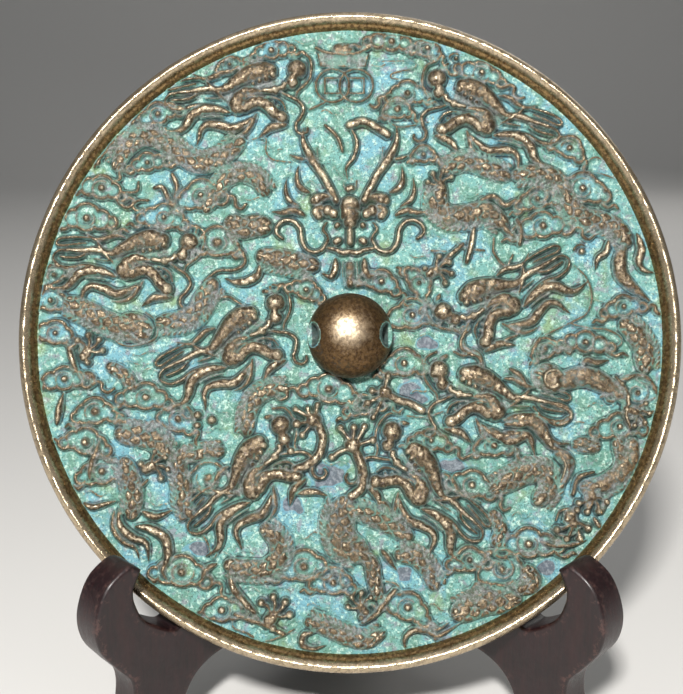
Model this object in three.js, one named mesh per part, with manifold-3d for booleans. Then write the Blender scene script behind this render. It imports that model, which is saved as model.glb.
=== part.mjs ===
// Ancient bronze mirror on a cross-lapped wooden stand. Millimetres, +Z up, the patterned side faces -Y.
// Three separate pieces: the cast mirror and the two boards of the stand, which cross behind it.
import * as THREE from 'three';
import * as BufferGeometryUtils from 'three/addons/utils/BufferGeometryUtils.js';
import Module from 'manifold-3d';

const wasm = await Module();
wasm.setup();

// ---------- sizes of the mirror, in its own frame: x right, y up the face, z out of the face ----------
const MIRROR_RADIUS = 105;
const BACK_Z = -6;                       // plain reflecting face
const FIELD_Z = -2;                      // sunken ground of the relief
const RIM_TOP_Z = 2.2;                   // crest of the bead rim
const FIELD_RADIUS = 99.4;
const ROUND_FACETS = 60;
const SINK = 0.3;                        // depth of each relief form's foot in the ground
const STEP = 6.5;                        // path length between the rings of a relief ridge
const FLAT = 0.6;                        // crest width of a blunt form, as a share of its foot
const SMOOTHING = 0.3;                   // slivers thinner than this are taken out of the finished casting
const BLUNT = 0.4;                       // how much a blunt ridge narrows and runs on at its ends

// ---------- knob ----------
const KNOB_RADIUS = 13.5;                // at its widest
const KNOB_WIDEST = 3.5;                 // height of the widest place over the field
const KNOB_HEIGHT = 13.4;
const KNOB_FACETS = 20;
const CORD_HOLE_RADIUS = 3.6;
const CORD_HOLE_ABOVE_FIELD = 7;         // middle of the cord hole

// ---------- how the mirror leans in the stand ----------
const LEAN = THREE.MathUtils.degToRad(18.8);
const CENTRE_HEIGHT = 128.8;

// ---------- stand boards: s runs along a board to the rear, z is height ----------
const BOARD = 12;                        // thickness
const BOARD_YAW = THREE.MathUtils.degToRad(46);   // angle between a board and the front-to-back line
const BOARD_X = 64.5;                    // inner face of a board at s = 0
const BOARD_Y = -34.7;
const GAP = 0.3;                         // play between touching pieces
const LAP_HEIGHT = 47;                   // where the two half-lap slots meet
const LAP_SKEW = 0.5;                    // extra play, because the boards don't cross quite square
const REST_TOP = 117;                    // top of the straight back rest

const bronze = new THREE.MeshStandardMaterial({ color: '#6f8a7f', roughness: 0.55, metalness: 0.6 });
const wood = new THREE.MeshStandardMaterial({ color: '#38272b', roughness: 0.35, metalness: 0 });

// ---------- side-on dragon head, nose towards +x, cheek at the origin ----------
// rows: section, half width, height, then the points x, y of the stroke
const HEAD = [
  ['boss', 3.4, 3.6, 19.4, 8.2],                                                       // nostril curl
  ['boss', 2.6, 3.8, 11.6, 9.9],                                                       // eye
  ['lock', 2.5, 3.4, 13.2, 10.2, 4.0, 9.4, -4.0, 5.6],                                 // brow
  ['round', 1.9, 3.5, 7.2, 3.6, 3.6, 4.1, -0.9, 0.2, 0.6, -1.7, 5.4, -0.4],            // cheek
  ['round', 1.4, 3.0, 8.2, 3.5, 11.6, 2.9, 15.4, 3.2],                                 // upper lip
  ['round', 1.5, 3.2, 5.0, -0.4, 9.8, -1.6, 13.2, -5.9],                               // lower jaw
  ['boss', 2.3, 3.4, 13.9, -5.9],                                                      // chin
  ['line', 0.85, 2.0, 14.6, 2.6, 19.6, -1.6, 19.5, -6.2, 17.9, -10.4, 21.2, -11.6],    // whisker
  ['line', 1.3, 2.8, -3.6, 5.6, -12.4, 6.2, -21.0, 5.9, -22.9, 3.2],                   // horn
  ['lock', 1.9, 2.8, -2.8, -1.8, -10.6, -0.4, -17.4, -3.2, -24.4, -5.4],               // long mane lock
  ['lock', 1.7, 2.6, 4.2, -4.4, -3.6, -7.2, -10.6, -5.2, -14.8, -11.2],                // short mane lock
];
// where the eight side-on heads sit: cheek x, y, turn in degrees, 1 or -1 for a mirrored head
const HEADS = [
  [-36.5, 74.5, 8, 1], [44.5, 67.5, 20, -1], [-72, 21, 0, 1], [52, 10, -29, -1],
  [-38, -7, 27.5, 1], [46.5, -24, 12, -1], [-31, -49, 43, 1], [22, -51, 44, -1],
];

// ---------- front-on dragon face above the knob: rows of its right half, mirrored to the left ----------
const FACE_HALF = [
  ['line', 1.7, 2.8, 4.5, 43.5, 6.5, 47.5, 10.6, 54.5],                                // horn
  ['lock', 1.7, 2.6, 8.6, 51.0, 13.2, 58.6, 15.0, 67.5],                               // mane
  ['lock', 1.3, 2.2, 12.4, 46.0, 17.0, 50.0, 16.6, 55.0],
  ['lock', 1.1, 2.0, 15.8, 41.4, 20.6, 46.8, 20.2, 51.5],
  ['boss', 2.2, 3.0, 5.4, 39.3],                                                       // eye
  ['round', 1.7, 2.8, 10.0, 38.6, 10.8, 40.0, 9.4, 41.0],                              // ear
  ['boss', 1.8, 2.8, 4.1, 30.4],                                                       // fang lip
  ['lock', 1.4, 2.2, 14.2, 38.6, 18.0, 40.3, 25.4, 40.0],
  ['line', 1.0, 2.4, 7.0, 31.0, 11.2, 26.8, 15.3, 30.6, 17.8, 36.6, 23.2, 35.2, 21.6, 31.2],   // whisker
  ['lock', 1.5, 2.4, 4.6, 25.0, 4.8, 21.4, 9.6, 20.4],                                 // beard
];
const FACE_MIDDLE = [
  ['round', 3.6, 3.9, 0, 42.2, 0, 39.0],                                               // forehead
  ['boss', 2.9, 3.6, 0, 36.9],                                                         // nose
  ['round', 1.3, 3.2, 0, 33.6, 0, 30.0],
  ['line', 1.1, 2.2, -7.0, 28.2, -2.4, 26.6, 2.4, 26.6, 7.4, 28.0],                    // lower lip
  ['round', 1.6, 2.2, 0, 22.6, 0, 16.6],                                               // chin tuft
  ['lock', 1.0, 2.0, 0, 67.6, 1.2, 57.6, -0.6, 49.6],
];

// ---------- scaly bodies and legs: half width, height, then the points ----------
const BODIES = [
  [2.7, 2.6, -74.5, 55.0, -66.0, 64.4, -54.6, 58.6, -48.6, 55.4, -35.5, 62.4],
  [2.2, 2.5, -46.0, 41.2, -39.6, 50.6, -34.6, 52.2, -27.2, 46.4],
  [3.4, 3.0, -38.0, 36.4, -34.6, 34.6, -27.0, 35.2],
  [2.9, 2.8, -28.0, 25.6, -11.8, 22.6],
  [3.0, 2.7, -89.0, 10.6, -79.0, 5.4, -67.0, 2.6],
  [4.6, 3.0, -70.6, 3.2, -66.4, 2.0],
  [2.7, 2.6, -60.0, 4.4, -49.4, 7.4, -43.8, 16.4],
  [3.0, 2.9, 29.0, 47.0, 31.6, 38.6, 43.6, 39.8, 48.6, 36.6],
  [2.8, 2.8, 69.2, 45.6, 74.8, 38.0, 85.2, 34.4, 88.2, 30.6],
  [2.9, 2.8, 87.6, 3.8, 93.4, -4.0, 93.4, -9.6],
  [4.3, 2.9, 61.0, -12.6, 64.6, -14.0],
  [3.0, 2.8, 62.0, -14.0, 74.0, -12.6, 84.4, -18.6],
  [2.5, 2.6, 84.6, -34.0, 86.6, -39.0, 79.6, -46.8, 74.0, -47.6],
  [3.2, 2.8, -72.0, -31.0, -61.4, -33.0, -58.6, -36.6],
  [2.3, 2.6, -52.8, -37.0, -52.4, -47.0, -50.2, -56.0],
  [2.5, 2.7, -71.0, -40.0, -68.0, -50.0, -68.6, -56.0],
  [2.2, 2.6, -32.4, -30.0, -29.4, -19.4, -20.6, -16.6],
  [2.6, 2.7, -26.4, -60.6, -22.4, -69.6, -32.4, -73.0, -37.6, -71.8],
  [4.4, 3.0, -1.6, -53.4, -2.0, -64.8, 3.0, -68.0],
  [2.2, 2.8, 3.0, -68.2, 8.8, -81.6],
  [2.6, 2.5, 1.0, -54.6, 18.0, -62.6],
  [2.3, 2.5, 15.6, -68.6, 24.6, -73.4, 26.2, -78.0],
  [3.6, 2.8, 34.0, -86.6, 42.5, -83.4, 51.0, -83.0],
  [2.6, 2.6, 55.2, -73.4, 57.0, -76.6, 53.4, -79.0],
  [2.0, 2.4, -12.6, -89.4, 5.0, -95.0, 9.6, -93.0],
  [3.0, 2.8, 46.0, -48.0, 56.0, -43.0, 62.6, -47.6, 59.6, -51.6],
  [2.4, 2.6, 31.0, 53.6, 44.0, 54.0, 50.0, 51.6],
  [2.4, 2.6, 53.6, 51.8, 66.0, 50.8, 69.4, 46.0],
  [2.2, 2.4, 45.0, -56.0, 46.0, -65.0],
  [2.0, 2.4, -76.0, -9.6, -69.0, -16.0],
];

// ---------- claws: palm x, y, heading in degrees, size, 1 or -1 for the hand ----------
const CLAWS = [
  [-11.8, -26.8, 150, 1.0, 1], [10.4, -20.4, 140, 1.0, 1], [1.4, -34.6, 95, 1.15, -1],
  [27.6, 20.8, 20, 0.9, 1], [-24.0, -87.0, 60, 1.0, -1], [69.6, -58.6, -80, 1.0, 1],
  [-83.0, -4.6, 60, 0.9, -1], [3.6, -84.6, 120, 0.8, 1], [-62.0, -41.0, 20, 0.9, 1],
  [76.0, -50.6, -80, 0.9, 1], [29.0, 48.6, 110, 0.8, 1], [90.0, -24.0, -20, 0.8, 1],
];
const TOE_TURNS = [-75, -30, 15, 60, 150];
const TOE_CORNERS = [[-22, 2.2], [-13, 6], [13, 6]];     // bearing in degrees and reach of a toe's corners
const CLAW_HEIGHT = 2.3;

// ---------- flame and hair locks: half width, height, then the points ----------
const LOCKS = [
  [1.7, 2.6, -28.6, 23.0, -29.6, 19.4, -33.0, 17.4, -40.0, 18.6],
  [2.5, 2.8, 88.0, 30.0, 86.2, 25.0, 86.4, 20.0, 95.6, 11.0],
  [1.5, 2.4, 91.6, 33.0, 92.0, 23.6, 97.6, 20.2],
  [1.6, 2.6, -72.6, -54.6, -72.0, -59.6, -63.8, -65.2, -63.0, -71.0],
  [1.9, 2.8, -67.6, -59.8, -58.0, -63.6, -58.6, -73.6, -56.6, -77.0],
  [1.4, 2.2, -65.6, -55.0, -61.0, -56.8, -55.4, -54.6],
  [1.2, 2.2, -90.0, -0.6, -87.0, -10.0, -84.2, -15.6],
  [1.4, 2.2, 73.4, -9.8, 75.0, -7.8, 82.4, -7.6],
  [1.2, 2.2, 17.4, -98.0, 19.6, -92.0, 27.6, -93.4, 35.0, -89.4],
  [1.3, 2.2, -10.6, -92.4, -14.8, -96.0, -7.4, -96.6],
  [1.4, 2.2, -17.6, -49.6, -11.6, -49.0, -6.4, -50.6],
  [1.5, 2.2, -75.0, -27.6, -71.6, -27.0, -68.6, -28.0],
  [1.2, 2.2, -36.0, -87.0, -20.6, -93.0],
  [1.5, 2.4, -37.6, -73.6, -36.4, -79.0, -30.0, -86.4],
  [1.3, 2.3, 4.0, -89.4, 14.0, -79.6],
  [1.1, 2.2, 36.0, 29.4, 28.0, 21.6],
  [1.2, 2.3, 39.6, 34.6, 38.6, 29.0, 37.2, 23.6],
];

// ---------- clouds: curl ball x, y, half length, half height, turn in degrees, ball radius ----------
const CLOUDS = [
  [13.5, 95.5, 7.5, 3.2, -8, 1.5], [42.5, 85.2, 7.2, 3.3, -18, 1.4], [-61.8, 71.6, 7.0, 3.4, 18, 1.3],
  [-79.6, 47.6, 6.8, 3.6, -12, 1.5], [-84.2, 37.8, 7.6, 4.2, 0, 1.6], [-59.4, 38.0, 6.6, 4.0, -8, 1.1],
  [19.8, 6.8, 7.4, 4.6, 4, 1.4], [61.6, 35.4, 7.6, 4.0, 4, 1.6], [74.6, 47.4, 6.8, 4.6, -8, 1.6],
  [74.6, -2.0, 7.8, 3.2, -4, 1.5], [-6.6, -16.8, 7.8, 4.4, -10, 1.8], [-90.4, -13.6, 7.2, 3.5, 2, 1.5],
  [-64.6, -19.3, 7.4, 4.0, -6, 1.6], [-83.4, -33.4, 6.6, 4.0, -12, 1.8], [-52.6, -74.0, 8.0, 4.6, -8, 1.7],
  [-14.4, -72.2, 7.0, 4.6, 0, 1.7], [18.0, -84.8, 6.6, 4.2, -24, 1.7], [56.0, -65.2, 8.6, 4.4, 4, 1.8],
  [85.0, -28.6, 7.4, 3.8, 4, 1.4],
];
const CLOUD_HEIGHT = 0.9;
const CLOUD_SIDES = 7;
const BALL_HEIGHT = 2;
const BALL_SIDES = 5;

// ---------- linked coins and the ingot over them ----------
const COIN_RADIUS = 5.4;
const COIN_X = [-5.6, 2.0];
const COIN_Y = 81;
const COIN_HOLE = 2.5;                   // half side of the square hole
const COIN_HEIGHT = 1.5;
const INGOT = [1.1, 2.2, -11.0, 93.4, -5.6, 91.2, 1.2, 91.2, 6.6, 93.8];

/** Closed solid for boolean work, from any closed three.js geometry. */
function solid(geometry) {
  const bare = geometry.index ? geometry.toNonIndexed() : geometry.clone();
  bare.deleteAttribute('normal');
  bare.deleteAttribute('uv');
  const merged = BufferGeometryUtils.mergeVertices(bare, 1e-4);
  const vertProperties = new Float32Array(merged.attributes.position.array);
  const triVerts = new Uint32Array(merged.index.array);
  return new wasm.Manifold(new wasm.Mesh({ numProp: 3, vertProperties, triVerts }));
}

/** three.js geometry of a finished boolean solid. */
function geometryOf(manifold) {
  const mesh = manifold.getMesh();
  const geometry = new THREE.BufferGeometry();
  const positions = new Float32Array(mesh.numVert * 3);
  for (let vertex = 0; vertex < mesh.numVert; vertex += 1) {
    for (let axis = 0; axis < 3; axis += 1) {
      positions[vertex * 3 + axis] = mesh.vertProperties[vertex * mesh.numProp + axis];
    }
  }
  geometry.setAttribute('position', new THREE.BufferAttribute(positions, 3));
  geometry.setIndex(new THREE.BufferAttribute(new Uint32Array(mesh.triVerts), 1));
  return geometry;
}

/** Pairs of numbers as 2-D points. */
function pairs(numbers) {
  const points = [];
  for (let index = 0; index < numbers.length; index += 2) {
    points.push(new THREE.Vector2(numbers[index], numbers[index + 1]));
  }
  return points;
}

/** Points turned by `turn` degrees, mirrored left to right when `hand` is -1, then moved. */
function placed(points, x, y, turn, hand) {
  const angle = THREE.MathUtils.degToRad(turn);
  return points.map((point) => {
    const turned = point.clone().rotateAround(new THREE.Vector2(0, 0), angle);
    return new THREE.Vector2(x + hand * turned.x, y + turned.y);
  });
}

/** Solid of revolution about the face's z axis, from radius, height pairs that start and end on the axis. */
function revolved(profile, facets) {
  return new THREE.LatheGeometry(pairs(profile), facets).rotateX(Math.PI / 2);
}

/**
 * Relief ridge along a path. A 'round' ridge keeps its width, has a flat crest and blunt ends; a 'lock'
 * swells in the middle and ends in points; a 'line' is a narrow roof. The ridge is a cylinder whose rings
 * are moved along the path.
 */
function ridge(kind, halfWidth, height, points) {
  const curve = new THREE.SplineCurve(points);
  const blunt = kind === 'round';
  const steps = THREE.MathUtils.clamp(Math.round(curve.getLength() / STEP), 1, 5) + (blunt ? 2 : 1);
  const facets = blunt ? 4 : 3;
  const geometry = new THREE.CylinderGeometry(1, 1, 1, facets, steps, false, blunt ? Math.PI / 4 : 0);
  const position = geometry.attributes.position;
  for (let index = 0; index < position.count; index += 1) {
    const ring = Math.round((0.5 - position.getY(index)) * steps);
    const { point, tangent, size } = station(kind, curve, ring, steps, halfWidth);
    const side = Math.round(position.getX(index) * 1.2);
    const raised = position.getZ(index) > -0.1;
    const across = side * halfWidth * size * (raised ? FLAT : 1);
    const level = raised ? height * (0.4 + 0.6 * size) : -SINK;
    position.setXYZ(index, point.x - tangent.y * across, point.y + tangent.x * across, FIELD_Z + level);
  }
  return solid(geometry);
}

/** Where a ring of a ridge lies, which way the path runs there, and its share of the full width. */
function station(kind, curve, ring, steps, halfWidth) {
  const along = ring / steps;
  if (kind !== 'round') {
    const size = kind === 'lock' ? 0.12 + 0.88 * Math.sin(Math.PI * along ** 0.8) : 1;
    return { point: curve.getPoint(along), tangent: curve.getTangent(along), size };
  }
  const inner = THREE.MathUtils.clamp((ring - 1) / (steps - 2), 0, 1);
  const tangent = curve.getTangent(inner);
  const overhang = ring === 0 ? -BLUNT : ring === steps ? BLUNT : 0;
  const point = curve.getPoint(inner).addScaledVector(tangent, overhang * halfWidth);
  return { point, tangent, size: overhang === 0 ? 1 : 1 - BLUNT };
}

/** Low boss with slanting sides, such as an eye, a cloud's curl ball or a palm. */
function boss(x, y, radius, height, facets) {
  const profile = [0, -SINK, radius, -SINK, radius * FLAT, height, 0, height];
  return solid(revolved(profile, facets).translate(x, y, FIELD_Z));
}

/** Flat-topped cloud with its curl ball. */
function cloud([x, y, halfLength, halfHeight, turn, ballRadius]) {
  const profile = [0, -SINK, 1, -SINK, 0.86, CLOUD_HEIGHT, 0, CLOUD_HEIGHT];
  const plate = revolved(profile, CLOUD_SIDES).scale(halfLength, halfHeight, 1);
  plate.rotateZ(THREE.MathUtils.degToRad(turn)).translate(x, y, FIELD_Z);
  return solid(plate).add(boss(x, y, ballRadius, BALL_HEIGHT, BALL_SIDES));
}

/** Claw: a flat star of blunt toes spread around its palm. */
function claw([x, y, heading, size, hand]) {
  const outline = [];
  for (const turn of TOE_TURNS) {
    for (const [bearing, reach] of TOE_CORNERS) {
      const angle = THREE.MathUtils.degToRad(turn + bearing);
      outline.push(new THREE.Vector2(Math.cos(angle), Math.sin(angle)).multiplyScalar(reach * size));
    }
  }
  const star = new THREE.Shape(placed(outline, 0, 0, 0, hand));
  const options = { depth: CLAW_HEIGHT + SINK, bevelEnabled: false };
  const paw = new THREE.ExtrudeGeometry(star, options).rotateZ(THREE.MathUtils.degToRad(heading));
  return solid(paw.translate(x, y, FIELD_Z - SINK));
}

/** Ring with a square hole: one of the two linked coins. */
function coin(x) {
  const outline = new THREE.Shape().absarc(0, 0, COIN_RADIUS, 0, 2 * Math.PI);
  const side = COIN_HOLE;
  outline.holes.push(new THREE.Path(pairs([-side, -side, -side, side, side, side, side, -side])));
  const options = { depth: COIN_HEIGHT + SINK, curveSegments: 8, bevelEnabled: false };
  return solid(new THREE.ExtrudeGeometry(outline, options).translate(x, COIN_Y, FIELD_Z - SINK));
}

/** Relief form of a table row: a boss at one point or a ridge along several. */
function form(kind, halfWidth, height, points) {
  if (kind === 'boss') {
    return boss(points[0].x, points[0].y, halfWidth, height, BALL_SIDES + 1);
  }
  return ridge(kind, halfWidth, height, points);
}

/** All relief forms in one list. */
function reliefForms() {
  const forms = [];
  for (const [x, y, turn, hand] of HEADS) {
    for (const [kind, width, height, ...path] of HEAD) {
      forms.push(form(kind, width, height, placed(pairs(path), x, y, turn, hand)));
    }
  }
  for (const hand of [1, -1]) {
    for (const [kind, width, height, ...path] of FACE_HALF) {
      forms.push(form(kind, width, height, placed(pairs(path), 0, 0, 0, hand)));
    }
  }
  for (const [kind, width, height, ...path] of FACE_MIDDLE) {
    forms.push(form(kind, width, height, pairs(path)));
  }
  for (const [width, height, ...path] of BODIES) {
    forms.push(ridge('round', width, height, pairs(path)));
  }
  for (const [width, height, ...path] of [...LOCKS, INGOT]) {
    forms.push(ridge('lock', width, height, pairs(path)));
  }
  forms.push(...CLOUDS.map(cloud), ...CLAWS.map(claw), ...COIN_X.map(coin));
  return forms;
}

/** Plate, bead rim, relief and the pierced knob, as the one casting that they are. */
function mirrorBody() {
  const rim = [
    0, BACK_Z,
    MIRROR_RADIUS - 1, BACK_Z,
    MIRROR_RADIUS, BACK_Z + 1,
    MIRROR_RADIUS, RIM_TOP_Z - 3,
    MIRROR_RADIUS - 0.5, RIM_TOP_Z - 1.2,
    MIRROR_RADIUS - 1.9, RIM_TOP_Z,
    MIRROR_RADIUS - 3.3, RIM_TOP_Z - 0.7,
    MIRROR_RADIUS - 4, RIM_TOP_Z - 2.2,
    FIELD_RADIUS + 0.9, RIM_TOP_Z - 2.9,
    FIELD_RADIUS, FIELD_Z,
    0, FIELD_Z,
  ];
  let body = solid(revolved(rim, ROUND_FACETS));
  for (const part of reliefForms()) {
    body = body.add(part);
  }
  return body.add(knobBall()).subtract(cordHole()).simplify(SMOOTHING);
}

/** Ball of the knob: it leaves the field drawn in, swells to its widest and closes in a quarter ellipse. */
function knobBall() {
  const foot = -Math.PI / 6;
  const profile = [0, FIELD_Z - SINK];
  const rings = 8;
  for (let ring = 0; ring <= rings; ring += 1) {
    const angle = foot + (ring / rings) * (Math.PI / 2 - foot);
    const radius = ring === rings ? 0 : KNOB_RADIUS * Math.cos(angle) ** 0.9;
    const rise = angle < 0 ? (KNOB_WIDEST + SINK) / Math.sin(-foot) : KNOB_HEIGHT - KNOB_WIDEST;
    profile.push(radius, FIELD_Z + KNOB_WIDEST + rise * Math.sin(angle));
  }
  return solid(revolved(profile, KNOB_FACETS));
}

/** Round hole for the cord, straight through the knob from left to right. */
function cordHole() {
  const length = 2 * KNOB_RADIUS + 4;
  const hole = new THREE.CylinderGeometry(CORD_HOLE_RADIUS, CORD_HOLE_RADIUS, length, 16);
  return solid(hole.rotateZ(Math.PI / 2).translate(0, 0, FIELD_Z + CORD_HOLE_ABOVE_FIELD));
}

/** Distance s of the back rest at height z: it runs along the mirror's back, with the play. */
function restEdge(z) {
  const backY = (z - CENTRE_HEIGHT) * Math.tan(LEAN) - BACK_Z / Math.cos(LEAN);
  return (backY - BOARD_Y + GAP) / Math.cos(BOARD_YAW);
}

/** Evenly spaced points on a smooth curve through the given ones. */
function smooth(numbers, count) {
  return new THREE.SplineCurve(pairs(numbers)).getPoints(count);
}

/** Side outline of a board: front leg with its belly and hook, mirror slot, back rest, rear leg and arch. */
function boardOutline() {
  const hook = smooth([
    -9, 0, -8, 5, -3.3, 17.5, -3, 27.8, -8, 34.8, -13.3, 43, -14.2, 52.3, -9.8, 62.2, -2, 66.6, 2.4, 64.4,
  ], 20);
  const slot = smooth([-0.7, 59, -0.4, 54, 3.1, 46.8, 12.6, 40.1, restEdge(42), 42], 10);
  const top = REST_TOP;
  const rest = smooth([
    restEdge(top), top, restEdge(top) + 5, top + 6.5, restEdge(top) + 13, top + 1.5,
    74, 96, 86, 80, 106, 68, 116, 50, 117, 24, 122, 0,
  ], 18);
  const arch = smooth([105, 0, 101, 11, 90, 21, 66, 26, 40, 26, 24.5, 23, 16.6, 15, 12.5, 0], 15);
  return new THREE.Shape([...hook, ...slot, ...rest, ...arch]);
}

/** Half-lap slot through a board where the other one crosses it, upwards or downwards from its middle. */
function lapSlot(upwards) {
  const start = BOARD_X / Math.sin(BOARD_YAW) - GAP - LAP_SKEW;
  const width = BOARD + 2 * (GAP + LAP_SKEW);
  const height = 100;
  const slot = new THREE.BoxGeometry(width, height, 3 * BOARD);
  const middle = LAP_HEIGHT + (upwards ? 1 : -1) * (height - GAP) / 2;
  return solid(slot.translate(start + width / 2, middle, 0));
}

/** One board of the stand. The left one has its lap slot above and the right one below. */
function standBoard(name, side) {
  const options = { depth: BOARD, bevelEnabled: false };
  const blank = new THREE.ExtrudeGeometry(boardOutline(), options).translate(0, 0, side < 0 ? -BOARD : 0);
  const geometry = geometryOf(solid(blank).subtract(lapSlot(side < 0))).rotateX(Math.PI / 2);
  const mesh = new THREE.Mesh(geometry, wood);
  mesh.name = name;
  mesh.position.set(side * BOARD_X, BOARD_Y, 0);
  mesh.rotation.z = Math.PI / 2 + side * BOARD_YAW;
  return mesh;
}

const mirror = new THREE.Mesh(geometryOf(mirrorBody()), bronze);
mirror.name = 'mirror';
mirror.position.z = CENTRE_HEIGHT;
mirror.rotation.x = Math.PI / 2 - LEAN;

const object = new THREE.Group();
object.add(mirror, standBoard('stand_leaf_left', -1), standBoard('stand_leaf_right', 1));

// The frame: floor at z = 0, the middle of the bounding box on the z axis.
object.updateMatrixWorld(true);
const bounds = new THREE.Box3().setFromObject(object, true);
object.position.y = -(bounds.min.y + bounds.max.y) / 2;
object.updateMatrixWorld(true);

export default object;
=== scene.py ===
"""Ancient bronze mirror with dragons among clouds, leaning in a cross-lapped wooden stand.

The bronze is one casting. It is built here as a turned plate with its bead rim, a pierced knob and the
relief ground, whose height in millimetres is worked out from tables of strokes laid on the face. The stand is
two sawn boards with rounded edges. Everything is placed from the frame's own boxes, in metres.
"""

import bpy
import numpy as np
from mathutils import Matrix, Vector
from mathutils.geometry import delaunay_2d_cdt


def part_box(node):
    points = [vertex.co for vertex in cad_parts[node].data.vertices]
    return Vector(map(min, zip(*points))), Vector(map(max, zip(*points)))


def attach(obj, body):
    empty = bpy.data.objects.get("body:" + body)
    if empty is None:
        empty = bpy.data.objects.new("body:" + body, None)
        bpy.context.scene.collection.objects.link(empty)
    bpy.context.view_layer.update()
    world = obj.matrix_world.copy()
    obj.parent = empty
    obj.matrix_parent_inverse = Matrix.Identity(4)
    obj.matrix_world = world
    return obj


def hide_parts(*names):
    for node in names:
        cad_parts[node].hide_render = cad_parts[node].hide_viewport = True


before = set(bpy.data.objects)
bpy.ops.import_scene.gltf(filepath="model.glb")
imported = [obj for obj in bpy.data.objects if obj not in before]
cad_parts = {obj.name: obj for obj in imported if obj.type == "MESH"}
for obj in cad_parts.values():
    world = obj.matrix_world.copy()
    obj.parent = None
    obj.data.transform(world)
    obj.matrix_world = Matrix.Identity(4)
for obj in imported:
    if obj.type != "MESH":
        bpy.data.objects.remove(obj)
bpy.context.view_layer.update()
MM = 0.001
RNG = np.random.default_rng(7)

# ---------- the mirror in its own frame, in millimetres: x right, y up the face, z out of the face ----------
RADIUS = 105.0
BACK_Z = -6.0
FIELD_Z = -2.0
FIELD_RADIUS = 99.4
RIM_TOP_Z = 2.2
LEAN = np.radians(18.8)
KNOB_RADIUS = 13.5             # at its widest
KNOB_WIDEST = 3.5              # height of the widest place over the field
KNOB_HEIGHT = 13.4
HOLE_RADIUS = 3.6              # cord hole
HOLE_ABOVE_FIELD = 7.0         # height of its middle over the field
HOLE_SQUASH = 0.80             # its height as a share of its width
HOLE_LIFT = 0.7                # its lower lip is worn up by about this
CELL = 0.28                    # pitch of the relief grid
GRID_RADIUS = 100.2            # the relief runs this far, under the foot of the rim
SLAB_Z = FIELD_Z - 0.9         # underside of the relief, sunk in the plate

# ---------- sizes of the stand ----------
BOARD = 12.0
YAW = np.radians(46.0)
GAP = 0.3
LAP_HEIGHT = 47.0
LAP_SKEW = 0.5
REST_TOP = 117.0
REAR_TOE = 122.0               # s of the rear foot's outer corner
EDGE_ROUND = 1.1               # radius of the boards' edges
BAR_FACETS = 48                # of the bar that cuts the cord hole
BAR_RINGS = 41
FLOOR_Z = FIELD_Z - 0.6        # top of the plate under the relief
RIM_FACETS = 900
RIM_NICKS = 150
EDGE_FADE = 2.4                # width of the rubbed strip inside a board's rounded edge
CAP_PITCH = 2.0                # pitch of the lattice on a board's flat faces
# section of the bead rim, radius and z, from the outer wall's foot to the ground
RIM_SECTION = (
    (105.0, -5.0), (105.0, -3.0), (105.0, -0.8), (104.5, 1.0), (103.1, 2.2), (101.9, 1.6), (101.0, 0.0),
    (100.3, -0.7), (99.4, -2.0), (99.4, -2.5),
)
# side outline of a board, s and z by turns; the back rest's own points are worked out
HOOK = (-9, 0, -8, 5, -3.3, 17.5, -3, 27.8, -8, 34.8, -13.3, 43, -14.2, 52.3, -9.8, 62.2, -2, 66.6, 2.4, 64.4)
SLOT = (-0.7, 59, -0.4, 54, 3.1, 46.8, 12.6, 40.1)
REAR = (74, 96, 86, 80, 106, 68, 116, 50, 117, 24, 122, 0)
ARCH = (105, 0, 101, 11, 90, 21, 66, 26, 40, 26, 24.5, 23, 16.6, 15, 12.5, 0)

# ---------- where the mirror and the boards stand, from the frame's own boxes ----------
low_m, high_m = (np.array(corner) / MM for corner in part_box("mirror"))
high_b = np.array(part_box("stand_leaf_left")[1]) / MM
MIRROR_Z = high_m[2] - (RADIUS - 0.5) * np.cos(LEAN) - (RIM_TOP_Z - 1.2) * np.sin(LEAN)
MIRROR_Y = low_m[1] + (RADIUS - 1.9) * np.sin(LEAN) + RIM_TOP_Z * np.cos(LEAN)
BOARD_X = REAR_TOE * np.sin(YAW) - high_b[0]
BOARD_Y = high_b[1] - REAR_TOE * np.cos(YAW) - BOARD * np.sin(YAW)

# ---------- small relief details ----------
TOES = ((-75, 5.2), (-30, 5.4), (15, 5.4), (60, 5.2), (150, 4.2))   # turn from the claw's heading, reach
HEAD_FULLNESS = 1.18           # the heads' limbs, balls and locks against their table
GROOVE_DEPTH = 0.85            # of the grooves round the scales
BODY_SWELL = 0.4               # added to each body's half width
FIN_HALF_WIDTH = 1.15
SPIRAL_START = 0.70            # first gap between a cloud's ball and its spiral, and growth per radian
SPIRAL_GROWTH = 0.26
SPIRAL_END = 7.0
CLOUD_LINE = 0.85              # half width of a cloud's edge
RIPPLE_ROWS = np.arange(-96, 97, 5.6)
RIPPLE_COLUMNS = np.arange(-96, 97, 8.4)
CAST_BLUR = 0.15               # softening of the casting, then of the two fields that find its crests
CLOSE_BLUR = 0.5
WIDE_BLUR = 1.6
SCALE_LONG = 2.9               # pitch of the scales along and across a body
SCALE_WIDE = 3.7
FIN_RAY = 1.7
FIN_HEIGHT = 1.6
CLOUD_EDGE = 1.75
CLOUD_PLATE = 0.55
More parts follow.
